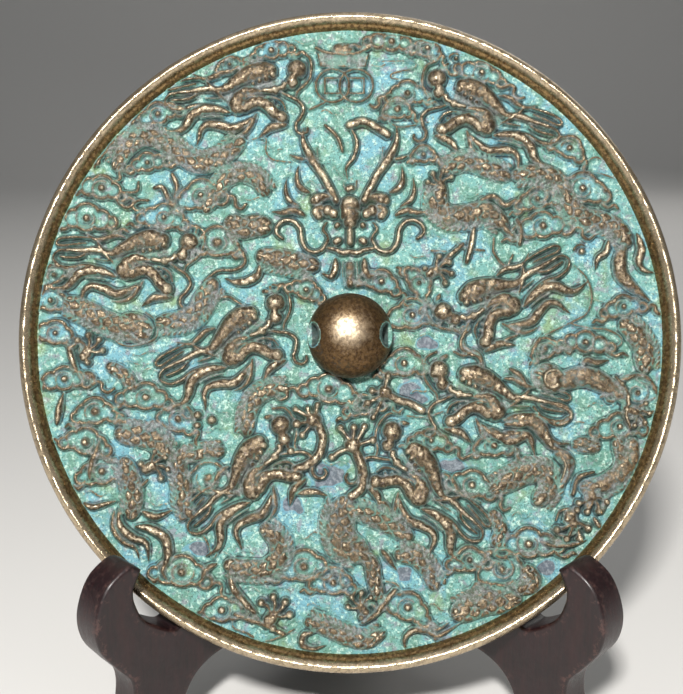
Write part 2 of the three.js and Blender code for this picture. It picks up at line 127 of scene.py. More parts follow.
# lobes of a cloud: middle as shares of its half length and half height, radius as a share of its half height
LOBES = (
    (0, 0.10, 1.02), (-0.58, -0.12, 0.74), (0.56, -0.02, 0.66), (-1.05, -0.34, 0.42), (0.98, -0.42, 0.44),
)
TAILS = (
    (0.85, -0.85, 1.15, -0.75, 1.38, -0.35, 1.62, -0.50, 1.64, -1.05, 1.88, -1.35, 2.15, -1.05),
    (-0.9, -0.80, -1.25, -1.10, -1.55, -0.85, -1.75, -1.05),
)
INGOT_BRIM = (-11, 93.4, -8.6, 92, -5.6, 91.2, -2.2, 91, 1.2, 91.2, 4.2, 92.2, 6.6, 93.8)
COIN_X = (-5.6, 2.0)
COIN_Y = 81.0
COIN_RADIUS = 5.4
COIN_HOLE = 2.5
# patches of ground without crust: x, y, half length, half width, turn in degrees
BARE = (
    (-7, -44, 6, 3.5, 0), (-18, -53, 3, 2.5, 0), (17, -75, 2.5, 2.5, 0), (20, -17.5, 5, 3, 10),
    (33, -41, 4.5, 2, 0),
    (46, -73, 2, 1.5, 0), (-47, -67, 4, 2, 0), (62, -73, 2.5, 2.5, 0), (25, -2, 3, 2, 0),
)
BANDS = (
    ("relief_bottom", -100.8, -49.28), ("relief_lower", -49.28, -15.96), ("relief_middle", -15.96, 15.96),
    ("relief_upper", 15.96, 49.28), ("relief_top", 49.28, 100.8),
)

# ---------- studio ----------
EYE_TILT = np.radians(15)
EYE_DISTANCE = 0.3355
EYE_LENS = 55.87
EYE_SHIFT = (-8.5 / 683, -11.1 / 683)
FLOOR_COLOUR = (0.72, 0.71, 0.69, 1)
SKY_COLOUR = (0.88, 0.94, 1.0, 1)
SKY_STRENGTH = 0.07
# name, place, aim, width, height, watts, colour
LIGHTS = (
    ("key_above", (-0.10, -0.66, 0.64), (0, 0, 0.12), 0.09, 0.07, 11.6, (1.0, 0.98, 0.95)),
    ("fill_left", (-1.1, -0.7, 0.7), (0, 0, 0.12), 0.8, 0.8, 0.7, (0.90, 0.96, 1.0)),
    ("fill_right", (1.1, -0.5, 0.7), (0, 0, 0.12), 0.8, 0.8, 0.45, (1.0, 0.98, 0.95)),
    ("back_soft", (0.5, 1.1, 0.8), (0, 0, 0.12), 0.9, 0.9, 3.2, (1.0, 0.98, 0.95)),
    ("top_soft", (0.0, 0.1, 1.6), (0, 0, 0.1), 1.2, 1.2, 3.4, (1.0, 1.0, 1.0)),
)
# ---- side-on dragon head, nose towards +x, origin at the cheek ----
# rows: kind, half width, height, then the points of the stroke
HEAD = (
    ("mass", 5.4, 1.3, -1, 3, 5, 4.6, 12, 5.4), ("mass", 2.4, 0.8, -4, 6, -12, 6.4, -18, 6),
    ("ball", 2.9, 3.9, 20.8, 9), ("ball", 2, 3.4, 18.7, 5), ("limb", 1.5, 3.2, 20.4, 8, 19, 6),
    ("line", 0.75, 1.7, 22.6, 14.6, 25.2, 12.4, 25.6, 9.4, 24.6, 5.8, 22.4, 3.4, 20, 1.6, 19.2, -0.2),
    ("lock", 0.9, 1.6, 18.6, 14.4, 20, 13.4, 21.6, 12.4),
    ("drop", 3.2, 3.9, 12, 9.7, 8.2, 9.9, 4.4, 9.2, 0.4, 7.3, -3.4, 5.6, -7, 6),
    ("ball", 1.2, 3.5, 12.8, 8), ("ball", 1, 3.2, 10.6, 7), ("ball", 0.95, 3, 8.4, 6.5),
    ("ball", 0.9, 2.8, 6.2, 6), ("line", 0.5, 1.6, 13.4, 6, 10.4, 5.4, 6.8, 4.8, 3.6, 5),
    ("ball", 3, 3.7, 0.6, 0.2), ("drop", 2.5, 3.5, 0.4, 1, 2.6, 3.2, 5.2, 3.8, 9, 3.2),
    ("limb", 0.9, 2.8, 9.4, 3.4, 12, 3, 15.6, 3.6), ("ball", 1.5, 3.1, 13, 3.1),
    ("ball", 1.2, 2.7, 16.2, 4.4), ("line", 0.5, 2.6, 1.8, 0.2, 3.2, 1.8, 5.4, 2.2, 8, 1.6),
    ("limb", 1.8, 3.2, 2.6, -1, 5.4, 0, 8, -0.2, 10.2, -2, 12, -4.6, 13.4, -5.8),
    ("ball", 2.05, 3.5, 13.6, -6), ("line", 0.6, 1.8, 9.8, 1.4, 12.6, 0.6, 14.8, -1.2, 15.4, -3.6),
    ("ball", 0.7, 2, 11.6, -0.6), ("ball", 0.65, 1.9, 13.2, -2), ("ball", 0.6, 1.8, 9.6, 0.2),
    ("lock", 1.35, 2.5, 15.4, -8.6, 12.6, -8.4, 9.6, -8.9, 7.6, -10.2, 5.6, -11.6),
    ("line", 0.85, 2, 14.6, 2.4, 17.2, 0.4, 20, -1.6, 21.2, -4.4, 19.6, -7.2, 18.2, -8.6, 18, -10.8, 19.4,
     -12.2, 21.2, -11.8, 21.6, -10.6),
    ("lock", 1, 2.1, 0.6, 10.6, -3, 11.2, -6.4, 10.2, -9.4, 10, -13, 12.4),
    ("line", 0.65, 1.9, -10.2, 10.4, -15.4, 10.7, -20.2, 10.3, -21.8, 9, -20.4, 8, -16, 8.4, -12.2, 8.8),
    ("drop", 1.15, 2.9, -5.6, 5.9, -9, 6.5, -13, 6.3, -17, 6.5, -20.6, 6.4, -22.4, 5, -22.6, 3.4),
    ("line", 0.7, 2.1, -12, 5.4, -14.2, 4.3, -17.4, 4.1, -20.4, 4.4),
    ("line", 0.85, 2.1, -22.4, 3.2, -20.4, 1.4, -16.8, 0.9, -13, 1.6, -9.6, 1.2, -6.4, -0.4),
    ("lock", 0.8, 2.6, -8.8, 9.4, -7.6, 7.2, -5.6, 4.8, -3, 1.8),
    ("line", 0.5, 1.5, -9.6, 3.8, -6.4, 3.2, -3.2, 3, -1.2, 3.6),
    ("lock", 1.7, 2.8, -2.2, -2.2, -6.4, -0.6, -10.8, 0, -14.4, -1.2, -17.2, -4.4, -20, -5.8, -24.4, -5),
    ("line", 0.35, 2.9, -5, -1.2, -9.6, -0.4, -13.6, -1.4, -16.4, -4),
    ("line", 0.5, 1.5, -4.4, -3.2, -8.6, -2.4, -12, -2.4),
    ("lock", 1.5, 2.6, 4.8, -4.6, 1.6, -6.4, -2.4, -7.4, -6.4, -5.8, -10, -5, -12.4, -6.4, -13.4, -9, -14.6,
     -11.4), ("line", 0.35, 2.7, 0.8, -6.4, -3, -7.2, -7.4, -5.4, -11, -5.4),
    ("lock", 0.9, 1.9, 6.4, -3, 2.6, -8.4, -1, -10, -4.4, -9.6),
)
# cheek x, y, turn in degrees, mirrored
HEADS = (
    (-36.5, 74.5, 8, False), (44.5, 67.5, 20, True), (-72, 21, 0, False), (52, 10, -29, True),
    (-38, -7, 27.5, False), (46.5, -24, 12, True), (-31, -49, 43, False), (22, -51, 44, True),
)
# ---- front-on dragon head, right half; the loop mirrors each row ----
FACE = (
    ("limb", 1.5, 2.6, 4.5, 43.5, 6.5, 47.5, 8.6, 51.5, 10.6, 54.5),
    ("lock", 1.7, 2.6, 8.6, 51, 10.8, 54.6, 13.2, 58.6, 15, 63, 15, 67.5),
    ("lock", 1.3, 2.2, 12.4, 46, 15.2, 47.2, 17, 50, 16.6, 55),
    ("lock", 1.1, 2, 15.8, 41.4, 19.2, 43.4, 20.6, 46.8, 20.2, 51.5),
    ("lock", 0.9, 1.8, 13.6, 56.8, 17, 57.4, 19.6, 58.6), ("limb", 1.9, 3, 5.2, 39.2, 5.6, 39.4),
    ("limb", 1.7, 2.8, 10, 38.6, 10.8, 40, 9.4, 41), ("limb", 1.2, 2.2, 4, 35.6, 4.2, 35.4),
    ("line", 0.7, 1.8, 7.4, 36.4, 8.6, 34.4, 7.4, 32.4, 6.8, 30.4),
    ("limb", 1.4, 2.8, 3.8, 30.6, 4.4, 30.2),
    ("lock", 1.4, 2.2, 14.2, 38.6, 18, 40.3, 21.4, 39.6, 25.4, 40),
    ("line", 1, 2.4, 7, 31, 8.6, 28, 11.2, 26.8, 13.8, 27.8, 15.3, 30.6, 15.8, 34.2, 17.8, 36.6, 20.8, 37,
     23.2, 35.2, 23.4, 32.8, 21.6, 31.2), ("line", 0.5, 1.2, 10.6, 61, 10.2, 57, 9.2, 54.6),
    ("lock", 1.5, 2.4, 4.6, 25, 4.8, 21.4, 6.2, 19, 9.6, 20.4),
    ("line", 0.5, 1.2, 2.2, 24, 2.4, 20, 1.8, 15.6), ("line", 0.5, 1.1, 2.2, 50, 1.6, 47.2, 0.4, 46),
)
FACE_MIDDLE = (
    ("limb", 3.6, 3.9, 0, 41.6, 0, 39.4), ("limb", 2.4, 3.6, 0, 37.2, 0, 36.6),
    ("limb", 1.3, 3.2, 0, 33.6, 0, 30), ("limb", 1.3, 2.2, -0.6, 47.2, 0.4, 47.6),
    ("line", 1.1, 2.2, -7, 28.2, -4.4, 27.6, -2.4, 26.6, 0, 27, 2.4, 26.6, 4.6, 27.6, 7.4, 28),
    ("limb", 1.6, 2.2, 0, 22.6, 0, 16.6),
    ("lock", 1, 2, 0, 67.6, 2.2, 62.6, 1.2, 57.6, -1.2, 54, -0.6, 49.6),
)
# ---- cloud: ball x, y, half length, half height, turn, hand of the spiral, ball radius ----
CLOUDS = (
    (13.5, 95.5, 7.5, 3.2, -8, 1, 1.5), (25, 93.2, 3.6, 3, -15, 1, 1.3), (34.2, 89.8, 2.6, 2.2, 0, 1, 1),
    (18.5, 78.5, 5.6, 3.6, 0, -1, 1.4), (15.3, 73.3, 3.4, 3.2, 0, 1, 1.8),
    (42.5, 85.2, 7.2, 3.3, -18, 1, 1.4), (23.6, 58.5, 3, 2.6, 0, 1, 1), (70.5, 60.6, 4.4, 3.4, -30, 1, 1.4),
    (-25.4, 92.6, 6, 3, 12, -1, 1.4), (-38.8, 87.8, 3.6, 2.4, 16, 1, 0.9),
    (-61.8, 71.6, 7, 3.4, 18, 1, 1.3), (-65, 55.8, 5.8, 2.8, 12, -1, 1.1), (-80, 61, 3.6, 2.6, 50, 1, 1),
    (-79.6, 47.6, 6.8, 3.6, -12, 1, 1.5), (-84.2, 37.8, 7.6, 4.2, 0, -1, 1.6),
    (-59.4, 38, 6.6, 4, -8, 1, 1.1), (-47.6, 45.2, 6.4, 4.6, 8, 1, 1.6), (-42.4, 30, 4.8, 4.6, 0, -1, 2),
    (-94.2, 19.6, 3.4, 2.8, 30, 1, 1), (-95.2, 11.4, 4.4, 3.4, 0, -1, 1.2),
    (19.8, 6.8, 7.4, 4.6, 4, 1, 1.4), (61.6, 35.4, 7.6, 4, 4, 1, 1.6), (74.6, 47.4, 6.8, 4.6, -8, -1, 1.6),
    (74, 27.2, 2.6, 2.4, 0, 1, 1.3), (87, 9.4, 6, 3.2, 10, 1, 1.2), (74.6, -2, 7.8, 3.2, -4, -1, 1.5),
    (62, -4, 3.6, 3, 20, 1, 1), (17.2, -8.6, 5.6, 4.2, 0, 1, 1.5), (-6.6, -16.8, 7.8, 4.4, -10, -1, 1.8),
    (45.4, -34.4, 4.6, 3.6, 0, 1, 1.6), (38.4, -46.8, 6.2, 4, -14, 1, 1.5),
    (-90.4, -13.6, 7.2, 3.5, 2, 1, 1.5), (-80.6, -23.9, 5.4, 4, 4, 1, 1.9),
    (-64.6, -19.3, 7.4, 4, -6, 1, 1.6), (-83.4, -33.4, 6.6, 4, -12, -1, 1.8),
    (-78, -42.6, 6.4, 4.2, 6, 1, 1.6), (-44.4, -45, 5.4, 4.8, 0, -1, 2.2),
    (-54.2, -26.2, 4.6, 4.2, -20, 1, 1.6), (-52.6, -74, 8, 4.6, -8, 1, 1.7),
    (-40, -85.6, 6.4, 3.6, 6, -1, 1.6), (-14.4, -72.2, 7, 4.6, 0, 1, 1.7), (-5.2, -77, 5.6, 4, -6, 1, 1.7),
    (18, -84.8, 6.6, 4.2, -24, 1, 1.7), (37.4, -70.2, 5.6, 3.6, 4, 1, 1.3),
    (56, -65.2, 8.6, 4.4, 4, -1, 1.8), (47.6, -73, 5.2, 5.4, 0, 1, 1.4), (85, -28.6, 7.4, 3.8, 4, 1, 1.4),
    (91, -18, 6, 5, -20, 1, 1.2), (-93.5, 1, 5.6, 3.6, -14, 1, 1.2), (60, 44, 5.6, 3.4, 10, 1, 1.2),
    (10, 17.4, 5.4, 3.4, -20, 1, 1.4), (-14, 14.8, 5.2, 3, -20, -1, 1.2), (22, 17, 4.4, 3.4, -60, 1, 1),
    (25.6, -33, 5.6, 3.2, -8, 1, 1), (4.6, -22, 5.4, 3, 10, 1, 1),
)
# ---- scaly bodies: side of the fin, half width, height, then the points ----
BODIES = (
    (1, 3.1, 2.6, -74.5, 55, -71.5, 61, -66, 64.4, -60, 62.6, -54.6, 58.6, -48.6, 55.4, -41.6, 57.2, -35.5,
     62.4), (1, 2.6, 2.5, -46, 41.2, -42.4, 46.6, -39.6, 50.6, -34.6, 52.2, -30, 50.6, -27.2, 46.4),
    (0, 3.4, 3, -38, 36.4, -34.6, 34.6, -30.6, 35.4, -27, 35.2),
    (-1, 3.3, 2.8, -28, 25.6, -23.4, 24.6, -18, 23.6, -11.8, 22.6),
    (-1, 3.4, 2.7, -89, 10.6, -84, 8, -79, 5.4, -74, 3.4, -67, 2.6), (0, 4.6, 3, -70.6, 3.2, -66.4, 2),
    (-1, 3.1, 2.6, -60, 4.4, -54, 5, -49.4, 7.4, -46.8, 11.6, -43.8, 16.4),
    (-1, 3.4, 2.9, 29, 47, 28, 42, 31.6, 38.6, 37.6, 38.8, 43.6, 39.8, 48.6, 36.6),
    (-1, 3.2, 2.8, 69.2, 45.6, 70.8, 41.2, 74.8, 38, 80.4, 36.8, 85.2, 34.4, 88.2, 30.6),
    (1, 3.3, 2.8, 87.6, 3.8, 90.6, 0.8, 93.4, -4, 93.4, -9.6), (0, 4.3, 2.9, 61.4, -12.6, 64.6, -14),
    (1, 2.9, 2.6, 84.6, -34, 86.6, -39, 84.8, -43.6, 79.6, -46.8, 74, -47.6),
    (1, 3.6, 2.8, -72, -31, -66.6, -31.4, -61.4, -33, -58.6, -36.6),
    (-1, 2.7, 2.6, -52.8, -37, -53.8, -42, -52.4, -47, -52.4, -52, -50.2, -56),
    (-1, 2.9, 2.7, -71, -40, -69.2, -45, -68, -50, -68.6, -56),
    (1, 2.3, 2.5, -52, -38, -47, -37.2, -41, -36.4),
    (1, 2.6, 2.6, -32.4, -30, -32.2, -24.6, -29.4, -19.4, -25, -17, -20.6, -16.6),
    (1, 3, 2.7, -26.4, -60.6, -22.6, -64.4, -22.4, -69.6, -26.6, -73, -32.4, -73, -37.6, -71.8),
    (-1, 4.8, 3, -1.6, -53.4, -3.4, -59, -2, -64.8, 3, -68),
    (0, 2.2, 2.8, 3, -68.2, 6.6, -71, 7.6, -76, 8.8, -81.6),
    (1, 3, 2.5, 1, -54.6, 7, -57, 13, -59.4, 18, -62.6),
    (1, 2.7, 2.5, 15.6, -68.6, 20.6, -69.4, 24.6, -73.4, 26.2, -78),
    (1, 4, 2.8, 34, -86.6, 39.6, -84, 45.4, -82.8, 51, -83),
    (0, 2.6, 2.6, 55.2, -73.4, 57, -76.6, 53.4, -79),
    (1, 2.4, 2.4, -12.6, -89.4, -6.6, -91.4, -1, -94, 5, -95, 9.6, -93),
    (1, 3.4, 2.8, 46, -48, 50.6, -45.4, 56, -43, 61, -43.2, 62.6, -47.6, 59.6, -51.6),
    (0, 2.3, 2.4, 71.6, -34.2, 77.6, -34.8), (1, 2.8, 2.6, 31, 53.6, 37, 56, 44, 54, 50, 51.6),
    (-1, 2.8, 2.6, 53.6, 51.8, 60, 52.6, 66, 50.8, 69.4, 46), (0, 2.2, 2.4, 45, -56, 47.4, -61, 46, -65),
    (0, 2, 2.4, -76, -9.6, -71.6, -12.4, -69, -16),
)
# ---- claws: palm x, y, heading in degrees, size, hand ----
CLAWS = (
    (27.6, 20.8, 20, 0.9, 1), (-24, -87, 60, 1, -1), (69.6, -58.6, -80, 1, 1), (-83, -4.6, 60, 0.9, -1),
    (3.6, -84.6, 120, 0.8, 1), (-62, -41, 20, 0.9, 1), (76, -50.6, -80, 0.9, 1), (29, 48.6, 110, 0.8, 1),
    (90, -24, -20, 0.8, 1),
)
LOCKS = (
    (1.7, 2.6, -28.6, 23, -29.6, 19.4, -33, 17.4, -37, 17.4, -40, 18.6),
    (1.3, 2.4, 82.6, 31, 81.6, 27, 79, 24.8, 78.2, 21),
    (2.5, 2.8, 88, 30, 86.2, 25, 86.4, 20, 90, 15.6, 95.6, 11),
    (1.5, 2.4, 91.6, 33, 92.8, 28, 92, 23.6, 94, 20.8, 97.6, 20.2),
    (1.2, 2.2, -74, -54.6, -74.2, -60, -71, -64.6, -67.2, -66.6, -66, -70.4),
    (1.6, 2.6, -72.6, -54.6, -72, -59.6, -68, -63.2, -63.8, -65.2, -63, -71),
    (1.9, 2.8, -67.6, -59.8, -62.4, -60.6, -58, -63.6, -57, -69, -58.6, -73.6, -56.6, -77),
    (1.4, 2.2, -65.6, -55, -61, -56.8, -55.4, -54.6),
    (1.2, 2, -85, -52.4, -80.6, -53.8, -76.6, -52.8, -72.6, -51.6),
    (1.3, 2.2, -41.6, -71.4, -44.8, -73, -46.4, -76.4, -49, -77.4),
    (1.2, 2.2, -90, -0.6, -88.6, -5.6, -87, -10, -84.2, -15.6),
    (1.3, 2.2, -84.4, -11.4, -81.6, -12.8, -80.4, -15.6),
    (1.4, 2.2, 73.4, -9.8, 75, -7.8, 78, -8.4, 82.4, -7.6),
    (1.3, 2.2, 50.4, -10.2, 53.6, -12.4, 56.6, -16.6),
    (1.2, 2.2, 17.4, -98, 17, -94.6, 19.6, -92, 23.6, -92, 27.6, -93.4, 35, -89.4),
    (1.2, 2, 19, -88.6, 23, -90.8, 27.4, -91.4, 31, -89.6),
    (1.3, 2.2, -10.6, -92.4, -14.2, -93.2, -14.8, -96, -12, -97.6, -7.4, -96.6),
    (1.4, 2.2, -17.6, -49.6, -11.6, -49, -6.4, -50.6),
    (1.2, 2, 6.6, -48.6, 9.6, -52, 12.2, -54.2, 12.6, -57.6),
    (1.2, 2.2, 59.4, -64.4, 64, -65.8, 70, -65.4, 74.4, -64),
    (1.3, 2.2, -92.6, -28.4, -91.6, -22, -90.6, -17.6),
    (1.3, 2.2, -82, -46, -81.4, -40.6, -79.8, -36, -78.6, -31.2),
    (1.5, 2.2, -75, -27.6, -71.6, -27, -68.6, -28), (1.2, 2, 9.6, -66.8, 11.8, -69.6, 14.6, -73.6),
)
LINES = (
    (0.8, 1.8, -39.4, 32.6, -36.6, 29.4, -34, 26.4, -33.6, 23.2, -36.6, 21.2, -42, 20.8, -46.4, 17.6),
    (0.7, 1.6, -42.6, 11.8, -39, 12.6, -36, 11, -33.6, 9.6),
    (0.8, 1.8, -67.8, 49.6, -68.4, 46.4, -73.4, 45.8, -74, 42.8, -71, 41.2, -68, 43.4, -64.6, 43.6),
    (0.6, 1.4, -65, 7.6, -61.6, 4.6, -61.6, -0.4, -66, -2.6, -71.6, -3, -76, -0.4, -79, 1.6),
    (0.7, 1.5, -9, -29.4, -8.6, -34.6, -11.6, -39, -17.6, -42),
    (0.5, 1, 17, -21, 22.4, -22.6, 27.4, -22, 30.6, -19.6), (0.6, 1.1, 17.6, -25.2, 24, -25.6, 30.6, -23.4),
    (0.8, 1.8, 33, -5, 36, -6.2, 39.4, -4.8, 41.6, -6.6, 42.4, -10.4),
    (0.7, 1.6, 37, 4.6, 38, 2.2, 36, 0, 36.8, -3.6, 40.4, -5),
    (0.8, 1.8, 42, -1.8, 46, -3.6, 49.4, -1.2, 53, 0.2),
    (0.6, 1.2, 71.6, 22.6, 75.4, 18.6, 77, 12.6, 75.4, 7.4, 71.6, 5, 60, -0.6),
    (0.6, 1.2, 70, 4, 75.6, 2.6, 81, 2.2, 85.6, 0, 86, -2.6, 82.6, -4),
    (0.6, 1.2, 60.6, 0.4, 58.6, -3.6, 60, -8), (0.6, 1.2, 60.6, -7.6, 58, -10, 57.6, -14, 60.6, -18),
    (0.6, 1.2, 84.6, -13.8, 88.6, -12.4, 92, -14.6, 96.6, -16, 98, -18.4, 93, -21.6, 94.4, -24.6, 90, -25),
    (0.7, 1.4, 85, -14, 86.4, -19.6, 86.4, -25, 88.4, -28),
    (0.6, 1.2, -36.4, -87, -36.4, -91, -32, -93, -28, -95.6, -22, -94, -17.4, -91.6),
    (1.2, 2.2, -36, -87, -30, -89, -25.6, -90.6, -20.6, -93),
    (1.5, 2.4, -37.6, -73.6, -36.4, -79, -32.6, -83.6, -30, -86.4),
    (1.3, 2.3, 4, -89.4, 8, -86.8, 11, -83, 14, -79.6),
    (0.6, 1.2, 10, -76.8, 14, -77.6, 17, -80.4, 21, -81),
    (0.6, 1.2, -47.4, -61, -44.6, -65, -43, -69.6, -40.8, -66.6),
    (0.7, 1.4, 29, -44, 32.4, -48.4, 37, -50, 41, -52.4), (0.6, 1.2, 34, 30, 38, 28, 43, 27.4),
    (0.6, 1.2, 26, 27.4, 31, 27), (1.1, 2.2, 36, 29.4, 31.6, 25.4, 28, 21.6),
    (1.2, 2.3, 39.6, 34.6, 38.6, 29, 37.2, 23.6), (1.2, 2.2, 42, 43.6, 46, 44.8, 49.6, 42, 53, 43.6),
    (1.1, 2.2, 47.4, 37.4, 50, 34, 52.4, 31.6), (1.1, 2.2, 53.4, 37.4, 54.6, 33.6, 54.2, 29.4),
    (0.7, 1.4, 46, 31.6, 46, 26.6, 49.6, 22.4, 52, 26),
    (0.6, 1.2, 24.6, 12.6, 26.4, 10, 28, 6, 33, 3.6, 36.6, 1),
    (0.5, 1, -33.4, 63, -27.4, 64, -27, 59.6, -25, 57, -19, 56), (0.5, 1, 75, 55.4, 79, 57.6, 84, 55.4),
    (0.5, 1, 71.6, 50.6, 78, 52.6, 85.6, 50.6),
    (0.5, 1, 10, 89, 14, 89.2, 20.4, 89, 20.6, 86.8, 14, 85.2, 13.4, 83.6, 17, 83),
    (0.6, 1.2, 17, 74.6, 12.2, 74, 12.4, 70, 16, 67.4, 25, 69), (0.9, 1.8, -8, 68, -4, 64, -2.4, 59.6),
    (0.6, 1.2, -7.2, 76, -10, 74.6, -13.4, 73), (1.2, 2, -57, 52, -55.4, 48, -56, 44.6),
    (1.2, 2, -62.6, 47.6, -60, 47.6, -57.6, 43, -54, 38.6),
    (1, 2, 66, -37.6, 68.6, -41.4, 67.6, -45.6, 64.6, -49.4), (1.2, 2, 74.4, -49, 74.6, -54),
    (1.2, 2, 80.4, -50.6, 79, -55.6), (1, 2, 76.6, -57.4, 78.6, -60.4),
    (1, 2, 70, -50, 72, -44.6, 76.6, -43),
)
# ---- single forms of the middle and the right: kind, half width, height, then the points ----
STROKES = (
    ("ball", 3, 3.4, -11.5, -26.5), ("limb", 0.95, 2.5, -11.5, -26.5, -14.6, -24.6, -17, -23.3),
    ("limb", 0.95, 2.5, -11.5, -26.5, -12.8, -24.6, -13.5, -22.8), ("ball", 1.3, 2.8, -17.2, -23.2),
    ("limb", 0.95, 2.5, -11.2, -26.5, -10.6, -24, -10.4, -22.3), ("ball", 1.3, 2.8, -10.3, -21.8),
    ("limb", 0.9, 2.4, -12, -27, -16.8, -27.8), ("ball", 1.8, 3.2, -16.8, -27.8),
    ("limb", 0.8, 2.2, -12, -27.6, -15, -31.2), ("ball", 1.4, 2.8, -15, -31.2),
    ("limb", 1.7, 2.8, -10, -28, -8.6, -32, -9.6, -37, -13, -40.4, -17, -42),
    ("limb", 0.8, 2.2, -20, -31, -20, -33.4, -19.5, -35), ("ball", 1.6, 2.8, -18.6, -36.3),
    ("ball", 2.7, 3.4, 11, -18), ("limb", 0.95, 2.4, 11, -18, 11.4, -15, 12, -13),
    ("ball", 1.35, 2.9, 12, -12.8), ("limb", 0.9, 2.3, 11, -18, 7, -17.3), ("ball", 1.5, 2.9, 7, -17.3),
    ("limb", 0.9, 2.3, 10.6, -18.6, 5.5, -21.2), ("ball", 1.5, 2.9, 5.5, -21.2),
    ("limb", 0.9, 2.3, 10.6, -19, 9.4, -22, 7.5, -25.5), ("ball", 1.3, 2.7, 7.3, -25.8),
    ("limb", 1.6, 2.7, 11.6, -18.4, 15.4, -20.4, 19, -21.4, 22.6, -23.4), ("ball", 3.1, 3.5, 1, -34.5),
    ("limb", 0.85, 2.4, 0.4, -33.5, -1.6, -31, -3, -29), ("ball", 1.4, 3, -3, -29),
    ("limb", 0.85, 2.4, 1, -33.5, 1.2, -29), ("ball", 1.4, 3, 1.2, -28.8),
    ("limb", 0.85, 2.4, 1.8, -33.6, 3.4, -31, 4.5, -28.8), ("ball", 1.4, 3, 4.6, -28.6),
    ("limb", 0.85, 2.4, 2, -34.4, 7, -33), ("ball", 1.5, 3, 7.2, -32.9),
    ("limb", 1, 2.4, 0, -35.4, -3, -36.4, -5.5, -38), ("ball", 1.5, 2.8, -5.6, -38.1),
    ("limb", 1.9, 2.9, 1.6, -36, 3.4, -40, 4.2, -44, 3.4, -48, 0.6, -50.5), ("ball", 4.6, 3.6, 64, -14),
    ("line", 0.6, 3.9, 66.8, -12.2, 65, -10.8, 62, -11.6, 61.4, -14.4, 63.4, -16.4, 65.6, -15.4, 65.2,
     -13.6), ("mass", 3.6, 3, 62, -14.4, 68, -14, 74, -12.8, 79, -14.4, 86, -18.6),
    ("line", 0.9, 2.2, 58, -20, 63.6, -21.4, 69.5, -24, 68.6, -27, 65, -28, 60.6, -25.6, 58, -22.4),
    ("lock", 2.2, 3, 48.6, -28, 53, -27.6, 57, -27.2, 61, -31, 64, -35, 69, -36.6),
    ("lock", 2, 2.8, 44, -29, 50, -33, 56, -31.5, 58.4, -37.6),
    ("drop", 2.6, 2.4, 66, -37, 69, -40, 67.5, -45, 64.5, -49),
    ("line", 0.5, 2.8, 66.6, -37.6, 67.6, -41, 66.2, -46),
    ("mass", 3.2, 2.8, 89, -34, 87.6, -40, 82.6, -45, 74.6, -48.6),
    ("line", 1, 2.6, 84, -13, 87, -17, 87.6, -21.4, 87, -25, 88.4, -29), ("ball", 1.3, 2.9, 85.8, -15.2),
    ("ball", 1.3, 2.9, 87.6, -19), ("ball", 1.3, 2.9, 87.2, -23), ("ball", 1.7, 2.9, -47, -37.5),
    ("ball", 1.6, 2.8, -43.2, -37), ("ball", 1.6, 2.6, -48.2, -25), ("ball", 1.5, 2.6, -48.2, -28.2),
    ("ball", 1.7, 2.6, -43.6, -26.6),
    ("line", 0.7, 1.7, 64.6, -58, 66, -55, 69.6, -54.6, 71, -57.4, 69, -59.6, 67, -58.4),
    ("line", 0.7, 1.7, 63, -60.6, 66, -62.6, 69.6, -62.4, 72.4, -60), ("ball", 1.8, 2.8, 68.6, -57.4),
    ("limb", 1.6, 2.6, 0, 68, 5, 69, 12, 65), ("drop", 2.4, 3.2, 11.4, 43.4, 8, 44.6, 5, 44),
    ("drop", 2.4, 3.2, -11.4, 43.4, -8, 44.6, -5, 44), ("ball", 2.3, 3.4, 7.2, 40.2),
    ("ball", 2.3, 3.4, -7.2, 40.2),
)


# -------------------- relief height map --------------------

def curve(points, step=0.35):
    """Catmull-Rom curve through the points (rows of x, y), sampled about every `step` millimetres."""
    p = np.asarray(points, float)
    if len(p) == 2:
        n = max(2, int(np.hypot(*(p[1] - p[0])) / step) + 2)
        t = np.linspace(0, 1, n)[:, None]
        return p[0] + (p[1] - p[0]) * t
    q = np.vstack([2 * p[0] - p[1], p, 2 * p[-1] - p[-2]])
    out = []
    for i in range(len(p) - 1):
        a, b, c, d = q[i:i + 4]
        n = max(3, int(np.hypot(*(c - b)) / step) + 1)
        t = np.linspace(0, 1, n, endpoint=False)[:, None]
        out.append(0.5 * (2 * b + (c - a) * t + (2 * a - 5 * b + 4 * c - d) * t ** 2
                          + (3 * b - a - 3 * c + d) * t ** 3))
    out.append(p[-1:])
    return np.vstack(out)


def taper(kind, s):
    """Share of the full width at arc share s: a lock swells between two points, a line thins at its ends."""
    if kind == "lock":
        return np.clip(np.sin(np.pi * np.clip(s, 0, 1) ** 0.75), 0, 1) ** 0.8 * 0.92 + 0.08
    if kind == "drop":
        return np.clip(0.72 + 1.9 * s, 0, 1) * np.clip(1.04 - 0.78 * s ** 1.2, 0, 1)
    if kind == "mass":
        return np.sin(np.pi * np.clip(s * 0.7 + 0.15, 0, 1)) ** 0.5
    if kind == "line":
        return 0.55 + 0.45 * np.sin(np.pi * np.clip(s * 0.9 + 0.05, 0, 1)) ** 0.5
    return np.ones_like(s)


def rows(numbers):
    return np.array(numbers, float).reshape(-1, 2)


def placed(points, x, y, turn=0.0, mirrored=False):
    """Points turned by `turn` degrees, mirrored left to right if asked, then moved to x, y."""
    c, s = np.cos(np.radians(turn)), np.sin(np.radians(turn))
    out = np.stack([c * points[:, 0] - s * points[:, 1], s * points[:, 0] + c * points[:, 1]], 1)
    if mirrored:
        out[:, 0] *= -1
    return out + (x, y)


def offset(points, distance):
    """The curve moved sideways by `distance`, to its left."""
    t = np.gradient(points, axis=0)
    t /= np.maximum(np.linalg.norm(t, axis=1, keepdims=True), 1e-9)
    return points + distance * np.stack([-t[:, 1], t[:, 0]], 1)


